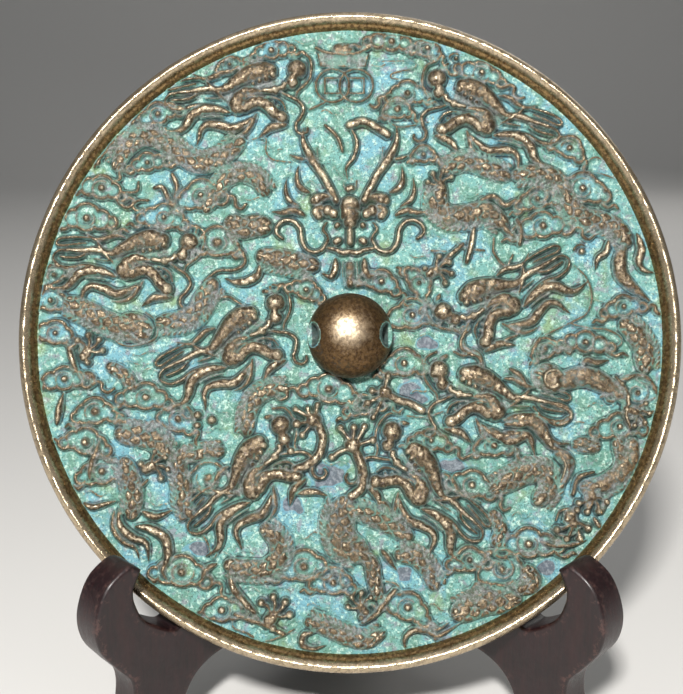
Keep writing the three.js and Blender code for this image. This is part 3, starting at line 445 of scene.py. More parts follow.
def blurred(field, sigma):
    """Gaussian blur of a square height map, sigma in millimetres."""
    n = field.shape[0]
    f = np.fft.rfftfreq(n, CELL)
    g = np.fft.fftfreq(n, CELL)
    k = np.exp(-2 * (np.pi * sigma) ** 2 * (g[:, None] ** 2 + f[None] ** 2))
    return np.fft.irfft2(np.fft.rfft2(field) * k, s=field.shape)


def mottle(n, pitch, rng):
    """Smooth random field of n by n points: unit noise on a lattice of `pitch` mm, blended by cosines."""
    m = int(n * CELL / pitch) + 3
    knots = rng.standard_normal((m, m))
    x = np.arange(n) * CELL / pitch
    i = x.astype(int)
    w = (1 - np.cos((x - i) * np.pi)) / 2
    blend = np.zeros((n, m))
    blend[np.arange(n), i] = 1 - w
    blend[np.arange(n), i + 1] = w
    return blend @ knots @ blend.T


class Face:
    """Height map of the patterned face: `high` holds millimetres above the ground on a square grid."""

    def __init__(self):
        self.n = 2 * int(round(GRID_RADIUS / CELL + 1)) + 1
        self.axis = (np.arange(self.n) - self.n // 2) * CELL
        self.high = np.zeros((self.n, self.n))

    def window(self, low, high):
        """Index slices of the grid part between two corners."""
        half = self.n // 2
        i0, j0 = (np.maximum(np.floor(np.asarray(low) / CELL).astype(int) + half, 0))
        i1, j1 = (np.minimum(np.ceil(np.asarray(high) / CELL).astype(int) + half + 1, self.n))
        return slice(j0, max(j1, j0)), slice(i0, max(i1, i0))

    def nearest(self, path, width, pad=0.0):
        """Window around a path with, at each grid point, distance over local half width, arc length along the
        path and signed distance to its left."""
        m = float(np.max(width)) + pad + CELL
        win = self.window(path.min(0) - m, path.max(0) + m)
        x, y = np.meshgrid(self.axis[win[1]], self.axis[win[0]])
        best = np.full(x.shape, 99.0)
        along = np.zeros(x.shape)
        side = np.zeros(x.shape)
        share = np.zeros(x.shape)
        arc = np.r_[0, np.cumsum(np.hypot(*np.diff(path, axis=0).T))]
        for k in range(len(path) - 1):
            a, d = path[k], path[k + 1] - path[k]
            length2 = d @ d
            if length2 < 1e-9:
                continue
            t = np.clip(((x - a[0]) * d[0] + (y - a[1]) * d[1]) / length2, 0, 1)
            dx, dy = x - a[0] - t * d[0], y - a[1] - t * d[1]
            q = np.hypot(dx, dy) / (width[k] + (width[k + 1] - width[k]) * t)
            near = q < best
            best = np.where(near, q, best)
            along = np.where(near, arc[k] + t * np.sqrt(length2), along)
            side = np.where(near, (d[0] * dy - d[1] * dx) / np.sqrt(length2), side)
            share = np.where(near, k + t, share)
        return win, best, along, side, share

    def raise_to(self, win, height, soften=0.5):
        """Joins a form to the relief: the higher of the two, with a small fillet where they are equal."""
        old = self.high[win]
        near = np.clip(1 - np.abs(old - height) / soften, 0, 1)
        both = np.clip(np.minimum(old, height) / 0.5 - 0.5, 0, 1)
        self.high[win] = np.maximum(old, height) + soften / 4 * near ** 2 * both

    def stroke(self, kind, half_width, height, points, roundness=0.5):
        """Ridge of section height * (1 - q^2)^roundness, with q the distance over the local half width."""
        if kind == "ball":
            return self.ball(points[0][0], points[0][1], half_width, height)
        path = curve(points)
        s = np.linspace(0, 1, len(path))
        width = half_width * taper(kind, s)
        crest = height * (0.45 + 0.55 * taper(kind, s))
        win, q, _, _, share = self.nearest(path, width)
        top = np.interp(share, np.arange(len(path)), crest)
        self.raise_to(win, np.where(q < 1, top * np.clip(1 - q * q, 0, 1) ** roundness, 0))
        return path

    def ball(self, x, y, radius, height):
        """Dome of a squashed ball."""
        win = self.window((x - radius, y - radius), (x + radius, y + radius))
        gx, gy = np.meshgrid(self.axis[win[1]], self.axis[win[0]])
        q = np.hypot(gx - x, gy - y) / radius
        self.raise_to(win, height * np.clip(1 - q * q, 0, 1) ** 0.6)


def scales(along, side, long, wide):
    """Overlapping round scales, 0 in the grooves to 1 on the scales.

    Row k has its scales' roots at along = k * long, shifted half a scale in every second row. A scale is the
    disc round its root; rows nearer the start lie on top, and each is a low dome 1 - 0.3 * d^2 in its groove.
    """
    out = np.zeros(along.shape)
    first = np.floor(along / long)
    for back in (0, -1, -2):
        k = first + back
        v = side / wide + 0.5 * (k % 2)
        v = v - np.round(v)
        d = np.hypot((along - k * long) / (1.45 * long), v / 0.60)
        plate = np.where(d < 0.80, 1 - 0.3 * d * d, np.clip((1 - d) / 0.20, 0, 1) * 0.8)
        out = np.where(d < 1, plate, out)
    return out


def body(face, half_width, height, points, fin_side):
    """Scaly body: a full ridge under scales, with a comb of fin rays along one side if it has a fin."""
    path = curve(points)
    s = np.linspace(0, 1, len(path))
    half_width = half_width + BODY_SWELL
    width = half_width * (1 - 0.35 * np.abs(2 * s - 1) ** 5)
    win, q, along, side, _ = face.nearest(path, width)
    plate = scales(along, side, SCALE_LONG, min(SCALE_WIDE, half_width * 0.9))
    dome = height * np.clip(1 - q * q, 0, 1) ** 0.42
    face.raise_to(win, np.where(q < 1, dome - GROOVE_DEPTH * (1 - plate) * np.clip((1 - q) * 5, 0.15, 1), 0))
    if fin_side == 0:
        return path
    edge = offset(path, fin_side * (half_width + 0.2))
    win, q, along, side, _ = face.nearest(edge, np.full(len(edge), FIN_HALF_WIDTH))
    ray = 0.5 + 0.5 * np.abs(np.sin(np.pi * (along + 0.8 * side * fin_side) / FIN_RAY)) ** 0.8
    face.raise_to(win, np.where(q < 1, FIN_HEIGHT * ray * np.clip(1 - q * q, 0, 1) ** 0.4, 0), 0.2)
    return path


def claw(face, x, y, heading, size, hand):
    """Palm with four spread toes and a thumb, each ending in a round tip."""
    back = np.radians(heading)
    palm = [(x, y), (x - 2.4 * size * np.cos(back), y - 2.4 * size * np.sin(back))]
    face.stroke("limb", 2.3 * size, 2.7, palm)
    for turn, reach in TOES:
        a = np.radians(heading + turn * hand)
        tip = (x + reach * size * np.cos(a), y + reach * size * np.sin(a))
        bend = np.radians(12 * hand)
        knee = (x + 0.55 * reach * size * np.cos(a + bend), y + 0.55 * reach * size * np.sin(a + bend))
        face.stroke("limb", 0.85 * size, 2.2, [(x, y), knee, tip])
        face.ball(tip[0], tip[1], 1.45 * size, 3.0)


def cloud(face, x, y, half_length, half_height, turn, hand, radius):
    """Curl ball in a spiral, on a plate of round lobes with a raised edge, with a wavy tail on each side.

    With d the distance outside the union of the lobes' circles, the plate stands where d < 0 and the edge
    line follows d = 0.
    """
    face.ball(x, y, radius, 2.3)
    turns = np.linspace(0.2, SPIRAL_END, 22)
    a = turns * hand + 0.9 + np.radians(turn)
    r = radius + SPIRAL_START + SPIRAL_GROWTH * turns
    keep = r < max(half_height * 0.85, radius + 1.3)
    face.stroke("line", 0.6, 1.4, np.stack([x + r * np.cos(a), y + 0.92 * r * np.sin(a)], 1)[keep])
    if half_length < 3:
        return
    c, s = np.cos(np.radians(turn)), np.sin(np.radians(turn))
    reach = 1.5 * half_length
    win = face.window((x - reach, y - reach), (x + reach, y + reach))
    gx, gy = np.meshgrid(face.axis[win[1]] - x, face.axis[win[0]] - y)
    u, v = (c * gx + s * gy) * hand, c * gy - s * gx
    d = np.full(u.shape, 99.0)
    for cu, cv, share in LOBES:
        d = np.minimum(d, np.hypot(u - cu * half_length, v - cv * half_height) - share * half_height)
    line = CLOUD_EDGE * np.clip(1 - (d / CLOUD_LINE) ** 2, 0, 1) ** 0.5
    face.raise_to(win, np.maximum(line, CLOUD_PLATE * np.clip(-d / 0.3, 0, 1)), 0.2)
    for tail in TAILS:
        points = rows(tail) * (hand * half_length, half_height)
        face.stroke("line", 0.9, 1.7, placed(points, x, y, turn))


def ripples(face):
    """Short wavy lines in the empty ground: S-curves on a jittered lattice, where nothing else stands."""
    for j in RIPPLE_ROWS:
        for i in RIPPLE_COLUMNS:
            x, y = i + RNG.uniform(-3, 3), j + RNG.uniform(-2, 2)
            length, lean = RNG.uniform(2.6, 5.2), RNG.normal(0, 0.22)
            bend = RNG.choice((-1, 1)) * RNG.uniform(0.5, 1.1)
            if np.hypot(x, y) > 96 or np.hypot(x, y) < 17:
                continue
            t = np.linspace(-1, 1, 7)
            path = np.stack([x + length * t, y + lean * length * t + bend * np.sin(np.pi * t)], 1)
            col = (path / CELL + face.n // 2).astype(int)
            if face.high[col[:, 1], col[:, 0]].max() < 0.5:
                face.stroke("line", 0.5, 0.7, path)


def ingot_and_coins(face):
    """Boat-shaped ingot over two linked round coins with square holes."""
    face.stroke("line", 0.9, 2.0, rows(INGOT_BRIM))
    gx, gy = np.meshgrid(face.axis, face.axis)
    hull = (gy < 91.6) & (gy > 87.0) & (np.abs(gx + 2.2) < 8.6 - (91.6 - gy) * 0.25)
    face.high[hull] = np.maximum(face.high[hull], 1.3)
    face.stroke("limb", 2.6, 2.2, [(-3.4, 92.6), (-1.0, 92.6)])
    for cx in COIN_X:
        a = np.linspace(0, 2 * np.pi, 40)
        rim = np.stack([cx + COIN_RADIUS * np.cos(a), COIN_Y + COIN_RADIUS * np.sin(a)], 1)
        face.stroke("limb", 0.6, 1.5, rim)
        q = COIN_HOLE
        corners = [(-q, -q), (q, -q), (q, q), (-q, q), (-q, -q)]
        for (x0, y0), (x1, y1) in zip(corners, corners[1:]):
            face.stroke("limb", 0.45, 1.4, [(cx + x0, COIN_Y + y0), (cx + x1, COIN_Y + y1)])


def carve():
    """The whole face, from the low forms to the high ones."""
    face = Face()
    for row in CLOUDS:
        cloud(face, *row)
    for row in LINES:
        face.stroke("line", row[0], row[1], rows(row[2:]))
    for row in BODIES:
        body(face, row[1], row[2], rows(row[3:]), row[0])
    for row in LOCKS:
        face.stroke("lock", row[0], row[1], rows(row[2:]))
    for row in STROKES:
        face.stroke(row[0], row[1], row[2], rows(row[3:]))
    for row in CLAWS:
        claw(face, *row)
    for x, y, turn, mirrored in HEADS:
        for row in HEAD:
            full = 1.0 if row[0] in ("line", "mass") else HEAD_FULLNESS
            face.stroke(row[0], row[1] * full, row[2], placed(rows(row[3:]), x, y, turn, mirrored))
    for row in FACE:
        half = rows(row[3:])
        face.stroke(row[0], row[1], row[2], half)
        face.stroke(row[0], row[1], row[2], half * (-1, 1))
    for row in FACE_MIDDLE:
        face.stroke(row[0], row[1], row[2], rows(row[3:]))
    ingot_and_coins(face)
    ripples(face)
    return face


def finish_face(face):
    """Softens the map as a worn casting, fades it out under the rim and adds its masks."""
    gx, gy = np.meshgrid(face.axis, face.axis)
    radius = np.hypot(gx, gy)
    high = blurred(face.high, CAST_BLUR)
    raised = np.clip(high / 1.0, 0, 1)
    high += 0.10 * mottle(face.n, 4.0, RNG) + (0.06 + 0.03 * raised) * mottle(face.n, 1.8, RNG)
    high += 0.03 * mottle(face.n, 0.7, RNG) + 0.10 * np.clip(high / 2.5, 0, 1) * mottle(face.n, 1.3, RNG)
    fade = np.clip((GRID_RADIUS - 0.5 - radius) / 1.4, 0, 1)
    under_knob = np.clip((radius - KNOB_RADIUS + 1.5) / 1.5, 0, 1)
    face.high = high * fade * under_knob
    close = blurred(face.high, CLOSE_BLUR)
    wide = blurred(face.high, WIDE_BLUR)
    face.wear = (np.clip((face.high - close) / 0.30, 0, 1) * 0.5
                 + np.clip((face.high - wide) / 1.1, 0, 1) * 0.6)
    # Darkening in hollows and at the feet of the forms: partly grime in the crevices, partly painted contact
    # shade.
    face.dirt = (np.clip((close - face.high) / 0.40, 0, 1) * 0.72
                 + np.clip((wide - face.high) / 1.5, 0, 1) * 0.12)
    bare = np.zeros_like(high)
    wander = 0.25 * mottle(face.n, 2.5, RNG)
    for x, y, a, b, turn in BARE:
        c, s = np.cos(np.radians(turn)), np.sin(np.radians(turn))
        u, v = (c * (gx - x) + s * (gy - y)) / a, (c * (gy - y) - s * (gx - x)) / b
        bare = np.maximum(bare, np.clip((1.25 - np.hypot(u, v) + wander) / 0.5, 0, 1))
    face.bare = bare * np.clip(1 - face.high / 0.7, 0, 1)


# -------------------- mesh builders --------------------

def face_to_world(x, y, z):
    """Mirror-frame millimetres to the row frame's metres."""
    c, s = np.cos(LEAN), np.sin(LEAN)
    return np.stack([x, MIRROR_Y + y * s - z * c, MIRROR_Z + y * c + z * s], -1) * MM


def world_to_face(points):
    """Row-frame metres back to mirror-frame millimetres."""
    c, s = np.cos(LEAN), np.sin(LEAN)
    x, y, z = (points / MM - (0, MIRROR_Y, MIRROR_Z)).T
    return np.stack([x, y * s + z * c, z * s - y * c], -1)


def points_of(piece):
    found = np.zeros(len(piece.data.vertices) * 3, np.float32)
    piece.data.vertices.foreach_get("co", found)
    return found.reshape(-1, 3).astype(float)


def add_mesh(name, verts, faces, smooth=True, normals=None, attributes=None):
    """Mesh object from world vertices in metres and a list or array of faces."""
    mesh = bpy.data.meshes.new(name)
    mesh.from_pydata(verts.reshape(-1, 3).tolist(), [], faces if isinstance(faces, list) else faces.tolist())
    mesh.polygons.foreach_set("use_smooth", np.full(len(mesh.polygons), smooth))
    for key, values in (attributes or {}).items():
        layer = mesh.attributes.new(key, "FLOAT", "POINT")
        layer.data.foreach_set("value", np.asarray(values, np.float32).ravel())
    mesh.validate()
    mesh.update()
    if normals is not None:
        mesh.normals_split_custom_set_from_vertices(normals.reshape(-1, 3).tolist())
    piece = bpy.data.objects.new(name, mesh)
    bpy.context.scene.collection.objects.link(piece)
    return piece


def relief_band(name, face, low_y, high_y):
    """Closed slab of the relief between two grid lines: top z = FIELD_Z + high(x, y), flat below, walls."""
    n, half = face.n, face.n // 2
    j0, j1 = max(int(round(low_y / CELL)) + half, 0), min(int(round(high_y / CELL)) + half, n - 1)
    gx, gy = np.meshgrid(face.axis, face.axis[j0:j1 + 1])
    inside = np.hypot(gx, gy) < GRID_RADIUS
    cell = inside[:-1, :-1] & inside[1:, :-1] & inside[:-1, 1:] & inside[1:, 1:]
    index = np.arange(gx.size).reshape(gx.shape)
    quads = np.stack([index[:-1, :-1], index[:-1, 1:], index[1:, 1:], index[1:, :-1]], -1)[cell]
    used = np.unique(quads)
    renumber = np.full(gx.size, -1)
    renumber[used] = np.arange(len(used))
    quads = renumber[quads]
    start = quads.ravel()
    end = np.roll(quads, -1, 1).ravel()
    key, back = start * len(used) + end, end * len(used) + start
    border = ~np.isin(key, back)
    follow = dict(zip(start[border].tolist(), end[border].tolist()))
    loop = [start[border][0]]
    while follow[loop[-1]] != loop[0]:
        loop.append(follow[loop[-1]])
    loop = np.array(loop)
    x, y = gx.ravel()[used], gy.ravel()[used]
    z = FIELD_Z + face.high[j0:j1 + 1].ravel()[used]
    slope_y, slope_x = np.gradient(face.high, CELL)
    sx, sy = (g[j0:j1 + 1].ravel()[used] for g in (slope_x, slope_y))
    low = len(used) + np.arange(len(loop))
    walls = np.stack([loop, low, np.roll(low, -1), np.roll(loop, -1)], -1)
    faces = quads.tolist() + walls.tolist() + [low[::-1].tolist()]
    top = face_to_world(x, y, z)
    under = face_to_world(x[loop], y[loop], np.full(len(loop), SLAB_Z))
    normal = np.stack([-sx, -sy, np.ones_like(sx)], -1)
    normal = np.vstack([normal, normal[loop]])
    normal = face_to_world(*normal.T) / MM - face_to_world(*np.zeros((3, 1))) / MM
    normal /= np.linalg.norm(normal, axis=1, keepdims=True)
    marks = {}
    for mark in ("high", "wear", "dirt", "bare"):
        values = getattr(face, mark)[j0:j1 + 1].ravel()[used]
        marks[mark] = np.r_[values, values[loop]]
    return add_mesh(name, np.vstack([top, under]), faces, True, normal, marks)


def ring_quads(count, levels):
    """Quads that join `levels` rings of `count` points each, ring after ring."""
    i, j = np.meshgrid(np.arange(count), np.arange(levels - 1))
    nxt = (i + 1) % count
    corners = [j * count + i, j * count + nxt, (j + 1) * count + nxt, (j + 1) * count + i]
    return np.stack(corners, -1).reshape(-1, 4)


def turned(name, profile, facets, marks, ripple=None):
    """Turned solid: profile rows are radius, z; point(a, k) = (r_k cos a, r_k sin a, z_k), closed."""
    r, z = profile.T
    a = np.arange(facets) * 2 * np.pi / facets
    inner = slice(1, -1)
    rr, zz = r[inner, None] + 0 * a, z[inner, None] + 0 * a
    if ripple is not None:
        dr, dz = ripple(a, np.arange(1, len(r) - 1))
        rr, zz = rr + dr, zz + dz
    x, y = rr * np.cos(a), rr * np.sin(a)
    poles = face_to_world(np.zeros(2), np.zeros(2), z[[0, -1]])
    points = np.vstack([face_to_world(x, y, zz).reshape(-1, 3), poles])
    k, count = len(r) - 2, facets
    quads = ring_quads(count, k)
    first, last = k * count, k * count + 1
    around = np.arange(count)
    caps = [[first, (b + 1) % count, b] for b in around.tolist()]
    base = (k - 1) * count
    caps += [[last, base + b, base + (b + 1) % count] for b in around.tolist()]
    layers = {}
    for key, values in marks.items():
        values = np.asarray(values, float)
        layers[key] = np.r_[np.repeat(values[inner], count), values[0], values[-1]]
    return add_mesh(name, points, quads.tolist() + caps, True, None, layers)


# -------------------- plate, rim, knob --------------------

def plate_profile():
    """Radius, z of the plate: plain back, bead rim with a bowed section through RIM_SECTION, low floor."""
    bead = np.array(RIM_SECTION)
    fine = curve(bead, 0.28)
    fine[:, 0] = np.minimum(fine[:, 0], RADIUS - 0.05)
    start = [(0, BACK_Z), (60, BACK_Z), (RADIUS - 1.0, BACK_Z)]
    end = [(FIELD_RADIUS, FLOOR_Z), (60, FLOOR_Z), (0, FLOOR_Z)]
    return np.vstack([start, fine, end])


def rim_wear(a, k):
    """Worn bead: slow swell, fine pitting and short nicks across the crest, all in millimetres."""
    count = len(a)
    r = PLATE[1:-1, 0][:, None] + 0 * a
    z = PLATE[1:-1, 1][:, None] + 0 * a
    on_bead = np.clip((z - FIELD_Z) / 1.5, 0, 1) * np.clip((r - 100) / 1.0, 0, 1)
    swell = np.zeros(count)
    for wave in (2, 3, 5, 9, 17, 31):
        swell += RNG.uniform(0.2, 1.0) * np.sin(wave * a + RNG.uniform(0, 6.28)) / wave ** 0.4
    pits = RNG.standard_normal((len(r), count))
    pits = (pits + np.roll(pits, 1, 1) + np.roll(pits, -1, 1)) / 3
    pits[1:-1] = (pits[1:-1] + pits[2:] + pits[:-2]) / 3
    nicks = np.zeros(count)
    reach = np.arange(-6, 7)
    for place in RNG.integers(0, count, RIM_NICKS):
        span = (reach + place) % count
        notch = RNG.uniform(0.05, 0.30) * np.exp(-reach ** 2 / RNG.uniform(0.6, 6))
        nicks[span] = np.maximum(nicks[span], notch)
    down = on_bead * (0.03 * swell - 0.06 + 0.05 * pits - nicks * np.clip((z - 0.6) / 1.2, 0, 1))
    inward = on_bead * 0.04 * np.roll(pits, 3, 1) - 0.05 * on_bead
    return np.minimum(inward, 0), np.minimum(down, 0)


def knob():
    """Ball of the knob, worn a little, with the round cord hole cut through.

    point(a, b) = (R cos(b)^0.9 cos a, R cos(b)^0.9 sin a, widest + rise * sin b), from b = -30 to 90 degrees.
    """
    b = np.radians(np.linspace(-30, 90, 34))
    rise = np.where(b < 0, (KNOB_WIDEST + 0.8) / 0.5, KNOB_HEIGHT - KNOB_WIDEST - 0.03)
    r = (KNOB_RADIUS - 0.04) * np.cos(b) ** 0.9
    z = FIELD_Z + KNOB_WIDEST + rise * np.sin(b)
    profile = np.vstack([[(0.0, z[0])], np.stack([r, z], 1)])
    profile[-1, 0] = 0.0

    def worn(a, k):
        radius, level = profile[1:-1, 0][:, None], profile[1:-1, 1][:, None]
        soft = np.sin(2 * a + 1) + 0.6 * np.sin(3 * a + level * 0.4) + 0.5 * np.sin(5 * a - level * 0.7)
        dent = 0.04 * soft + 0.01 * RNG.standard_normal((len(radius), len(a)))
        return -np.abs(dent) * np.clip(radius / 4, 0, 1), 0 * dent

    ball = turned("knob", profile, 128, {}, worn)
    bar = hole_bar()
    cut = ball.modifiers.new("cord_hole", "BOOLEAN")
    cut.operation, cut.object, cut.solver = "DIFFERENCE", bar, "EXACT"
    applied = bpy.data.meshes.new_from_object(ball.evaluated_get(bpy.context.evaluated_depsgraph_get()))
    ball.modifiers.clear()
    ball.data = applied
    bpy.data.objects.remove(bar)
    x, y, z = world_to_face(points_of(ball)).T
    tunnel = np.hypot(y, (z - FIELD_Z - HOLE_ABOVE_FIELD - HOLE_LIFT) / HOLE_SQUASH) / HOLE_RADIUS
    layer = applied.attributes.new("tunnel", "FLOAT", "POINT")
    layer.data.foreach_set("value", np.clip(1 - (tunnel - 1.02) / 0.14, 0, 1).astype(np.float32))
    # Crest: paler rubbed metal round the knob's top, spread wide as a painted highlight.
    crest = np.clip(1.1 - np.hypot(x, y - 1) / 9.5, 0, 1)
    layer = applied.attributes.new("crest", "FLOAT", "POINT")
    layer.data.foreach_set("value", crest.astype(np.float32))
    applied.polygons.foreach_set("use_smooth", np.ones(len(applied.polygons), bool))
    applied.set_sharp_from_angle(angle=np.radians(50))
    return ball


def hole_bar():
    """Bar across the face, slightly flared at its ends: radius HOLE_RADIUS - 0.25 + 0.15 * (|x| / R)^8 along
    y, and HOLE_SQUASH of that out of the face, since the hole is worn lower than it is wide."""
    a = np.arange(BAR_FACETS) * 2 * np.pi / BAR_FACETS
    x = np.linspace(-KNOB_RADIUS - 1, KNOB_RADIUS + 1, BAR_RINGS)
    r = HOLE_RADIUS - 0.25 + 0.15 * np.clip(np.abs(x) / KNOB_RADIUS, 0, 1) ** 8
    y = r[:, None] * np.cos(a)
    z = FIELD_Z + HOLE_ABOVE_FIELD + HOLE_LIFT + HOLE_SQUASH * r[:, None] * np.sin(a)
    points = face_to_world(np.repeat(x[:, None], BAR_FACETS, 1), y, z).reshape(-1, 3)
    quads = ring_quads(BAR_FACETS, BAR_RINGS)
    ends = [list(range(BAR_FACETS))[::-1], list(range((BAR_RINGS - 1) * BAR_FACETS, BAR_RINGS * BAR_FACETS))]
    return add_mesh("cord_hole_bar", points, quads.tolist() + ends, False)


# -------------------- the stand --------------------

def rest_edge(z):
    """Distance s of the back rest at height z, along the mirror's back."""
    return ((z - MIRROR_Z) * np.tan(LEAN) - BACK_Z / np.cos(LEAN) - (BOARD_Y - MIRROR_Y) + GAP) / np.cos(YAW)


def even_curve(numbers, count):
    """Catmull-Rom curve with its end points doubled, read at evenly spaced parameters."""
    p = rows(numbers)
    q = np.vstack([p[:1], p, p[-1:]])
    place = np.linspace(0, len(p) - 1, count + 1)
    i = np.minimum(place.astype(int), len(p) - 2)
    t = (place - i)[:, None]
    a, b, c, d = q[i], q[i + 1], q[i + 2], q[i + 3]
    v0, v1 = (c - a) * 0.5, (d - b) * 0.5
    return (2 * b - 2 * c + v0 + v1) * t ** 3 + (-3 * b + 3 * c - 2 * v0 - v1) * t ** 2 + v0 * t + b


def board_outline(lap_up):
    """Side outline of a board as rows s, z: belly and hook, mirror slot, back rest, rear leg and arch, with
    its lap slot cut in from above or from below."""
    top = rest_edge(REST_TOP)
    hook = even_curve(HOOK, 90)
    slot = even_curve(SLOT + (rest_edge(42), 42), 44)
    rest = even_curve((top, REST_TOP, top + 5, REST_TOP + 6.5, top + 13, REST_TOP + 1.5) + REAR, 90)
    arch = even_curve(ARCH, 70)
    start = BOARD_X / np.sin(YAW) - GAP - LAP_SKEW
    cut = (start, start + BOARD + 2 * (GAP + LAP_SKEW))
    edge = rest if lap_up else arch
    z_cut = LAP_HEIGHT - GAP / 2 if lap_up else LAP_HEIGHT + GAP / 2
    order = np.argsort(edge[:, 0])
    near, far = cut if lap_up else cut[::-1]
    mouth = [(s, np.interp(s, edge[order, 0], edge[order, 1])) for s in (near, far)]
    before = edge[(edge[:, 0] < near - 0.2) if lap_up else (edge[:, 0] > near + 0.2)]
    after = edge[(edge[:, 0] > far + 0.2) if lap_up else (edge[:, 0] < far - 0.2)]
    walls = np.linspace(0, 1, 12)[:, None]
    down = np.array(mouth[0]) * (1 - walls) + np.array((near, z_cut)) * walls
    floor = np.array((near, z_cut)) * (1 - walls) + np.array((far, z_cut)) * walls
    up = np.array((far, z_cut)) * (1 - walls) + np.array(mouth[1]) * walls
    edge = np.vstack([before, down, floor[1:], up[1:], after])
    outline = np.vstack([hook, slot[1:], edge if lap_up else rest, arch if lap_up else edge])
    keep = np.hypot(*(outline - np.roll(outline, 1, 0)).T) > 0.05
    return outline[keep]


def inward(outline):
    """Unit inward direction at each point of a clockwise outline, lengthened at corners as a mitre."""
    ahead = np.roll(outline, -1, 0) - outline
    ahead /= np.linalg.norm(ahead, axis=1, keepdims=True)
    back = np.roll(ahead, 1, 0)
    normal = np.stack([ahead[:, 1] + back[:, 1], -(ahead[:, 0] + back[:, 0])], 1)
    normal /= np.linalg.norm(normal, axis=1, keepdims=True)
    cosine = np.clip((normal * np.stack([ahead[:, 1], -ahead[:, 0]], 1)).sum(1), 0.6, 1)
    return normal / cosine[:, None]


def clear_depth(outline, step, depth):
    """Depth each point can move inwards and still be that far from the rest of the outline."""
    reach = np.full(len(outline), depth)
    a, b = outline, np.roll(outline, -1, 0)
    d = b - a
    for _ in range(12):
        p = outline + step * reach[:, None]
        t = np.clip(((p[:, None] - a) * d).sum(-1) / (d * d).sum(-1), 0, 1)
        gap = np.linalg.norm(p[:, None] - a - t[..., None] * d, axis=-1).min(1)
        reach = np.where(gap < 0.92 * reach, reach * 0.85, reach)
    return reach


def flat_cap(ring):
    """Triangles filling the outline `ring`, with an inner lattice; returns all points and triangles."""
    s, z = np.meshgrid(np.arange(ring[:, 0].min(), ring[:, 0].max(), CAP_PITCH),
                       np.arange(ring[:, 1].min(), ring[:, 1].max(), CAP_PITCH))
    lattice = np.stack([s.ravel() + 0.31, z.ravel() + 0.17], 1)
    lattice = lattice[inside_depth(lattice, ring) > 0.5]
    points = np.vstack([ring, lattice])
    loop = list(range(len(ring)))
    edges = list(zip(loop, loop[1:] + loop[:1]))
    found = delaunay_2d_cdt([Vector(p) for p in points.tolist()], edges, [loop[::-1]], 1, 1e-6)
    source = [group[0] for group in found[3]]
    triangles = [[source[v] for v in face] for face in found[2]]
    return points, triangles


def inside_depth(points, ring):
    """How deep each point lies inside the closed outline; negative outside."""
    a, b = ring, np.roll(ring, -1, 0)
    d = b - a
    p = points[:, None]
    t = np.clip(((p - a) * d).sum(-1) / (d * d).sum(-1), 0, 1)
    gap = np.linalg.norm(p - a - t[..., None] * d, axis=-1).min(1)
    crosses = (a[:, 1] > p[..., 1]) != (b[:, 1] > p[..., 1])
    with np.errstate(divide="ignore", invalid="ignore"):
        at = a[:, 0] + (p[..., 1] - a[:, 1]) * d[:, 0] / d[:, 1]
    odd = (crosses & (p[..., 0] < at)).sum(1) % 2 == 1
    return np.where(odd, gap, -gap)


def board(name, side):
    """Sawn board: each ring is the outline moved inwards by d and across by t, for (d, t) along a rounded
    edge, and each face is filled between its last ring and an inner lattice."""
    outline = board_outline(side < 0)
    step = inward(outline)
    r = EDGE_ROUND
    bend = np.radians([90, 65, 40, 18, 0])
    section = [(r * (1 - np.cos(b)), r * (1 - np.sin(b)), 1.0) for b in bend]
    middle = [(0.0, BOARD * f, 0.25) for f in (0.3, 0.5, 0.7)]
    section = section + middle + [(d, BOARD - t, e) for d, t, e in section[::-1]]
    deep = {d: clear_depth(outline, step, d) if d > 0.01 else np.zeros(len(outline)) for d, _, _ in section}
    s = np.stack([outline[:, 0] + step[:, 0] * deep[d] for d, _, _ in section])
    z = np.maximum(np.stack([outline[:, 1] + step[:, 1] * deep[d] for d, _, _ in section]), 0)
    t = -np.array([row[1] for row in section])[:, None] + 0 * s
    n, k = len(outline), len(section)
    quads = ring_quads(n, k)[:, [0, 3, 2, 1]]
    cap, triangles = flat_cap(np.stack([s[0], z[0]], 1))
    inner = cap[n:]
    count = k * n
    order = np.arange(len(cap))
    front = np.where(order < n, order, order - n + count)
    rear = np.where(order < n, order + (k - 1) * n, order + count + len(inner) - n)
    triangles = np.array(triangles)
    faces = quads.tolist() + front[triangles[:, ::-1]].tolist() + rear[triangles].tolist()
    if side > 0:
        faces = [face[::-1] for face in faces]
    s = np.r_[s.ravel(), inner[:, 0], inner[:, 0]]
    z = np.r_[z.ravel(), inner[:, 1], inner[:, 1]]
    t = np.r_[t.ravel(), 0 * inner[:, 0], 0 * inner[:, 0] - BOARD]
    x = -BOARD_X + s * np.sin(YAW) + t * np.cos(YAW)
    y = BOARD_Y + s * np.cos(YAW) - t * np.sin(YAW)
    rubbed = np.clip(1 - (inside_depth(inner, outline) - r) / EDGE_FADE, 0, 1)
    edge = np.r_[np.repeat([row[2] for row in section], n), rubbed, rubbed]
    piece = add_mesh(name, np.stack([x * -side, y, z], -1) * MM, faces, True, None, {"edge": edge})
    grain = piece.data.attributes.new("grain", "FLOAT_VECTOR", "POINT")
    grain.data.foreach_set("vector", np.stack([s, t, z], -1).astype(np.float32).ravel())
    return piece


# -------------------- materials --------------------

def colour(red, green, blue):
    """Linear colour from the usual 0 to 255 values."""
    c = np.array([red, green, blue]) / 255
    c = np.where(c <= 0.04045, c / 12.92, ((c + 0.055) / 1.055) ** 2.4)
    return (*c.tolist(), 1.0)


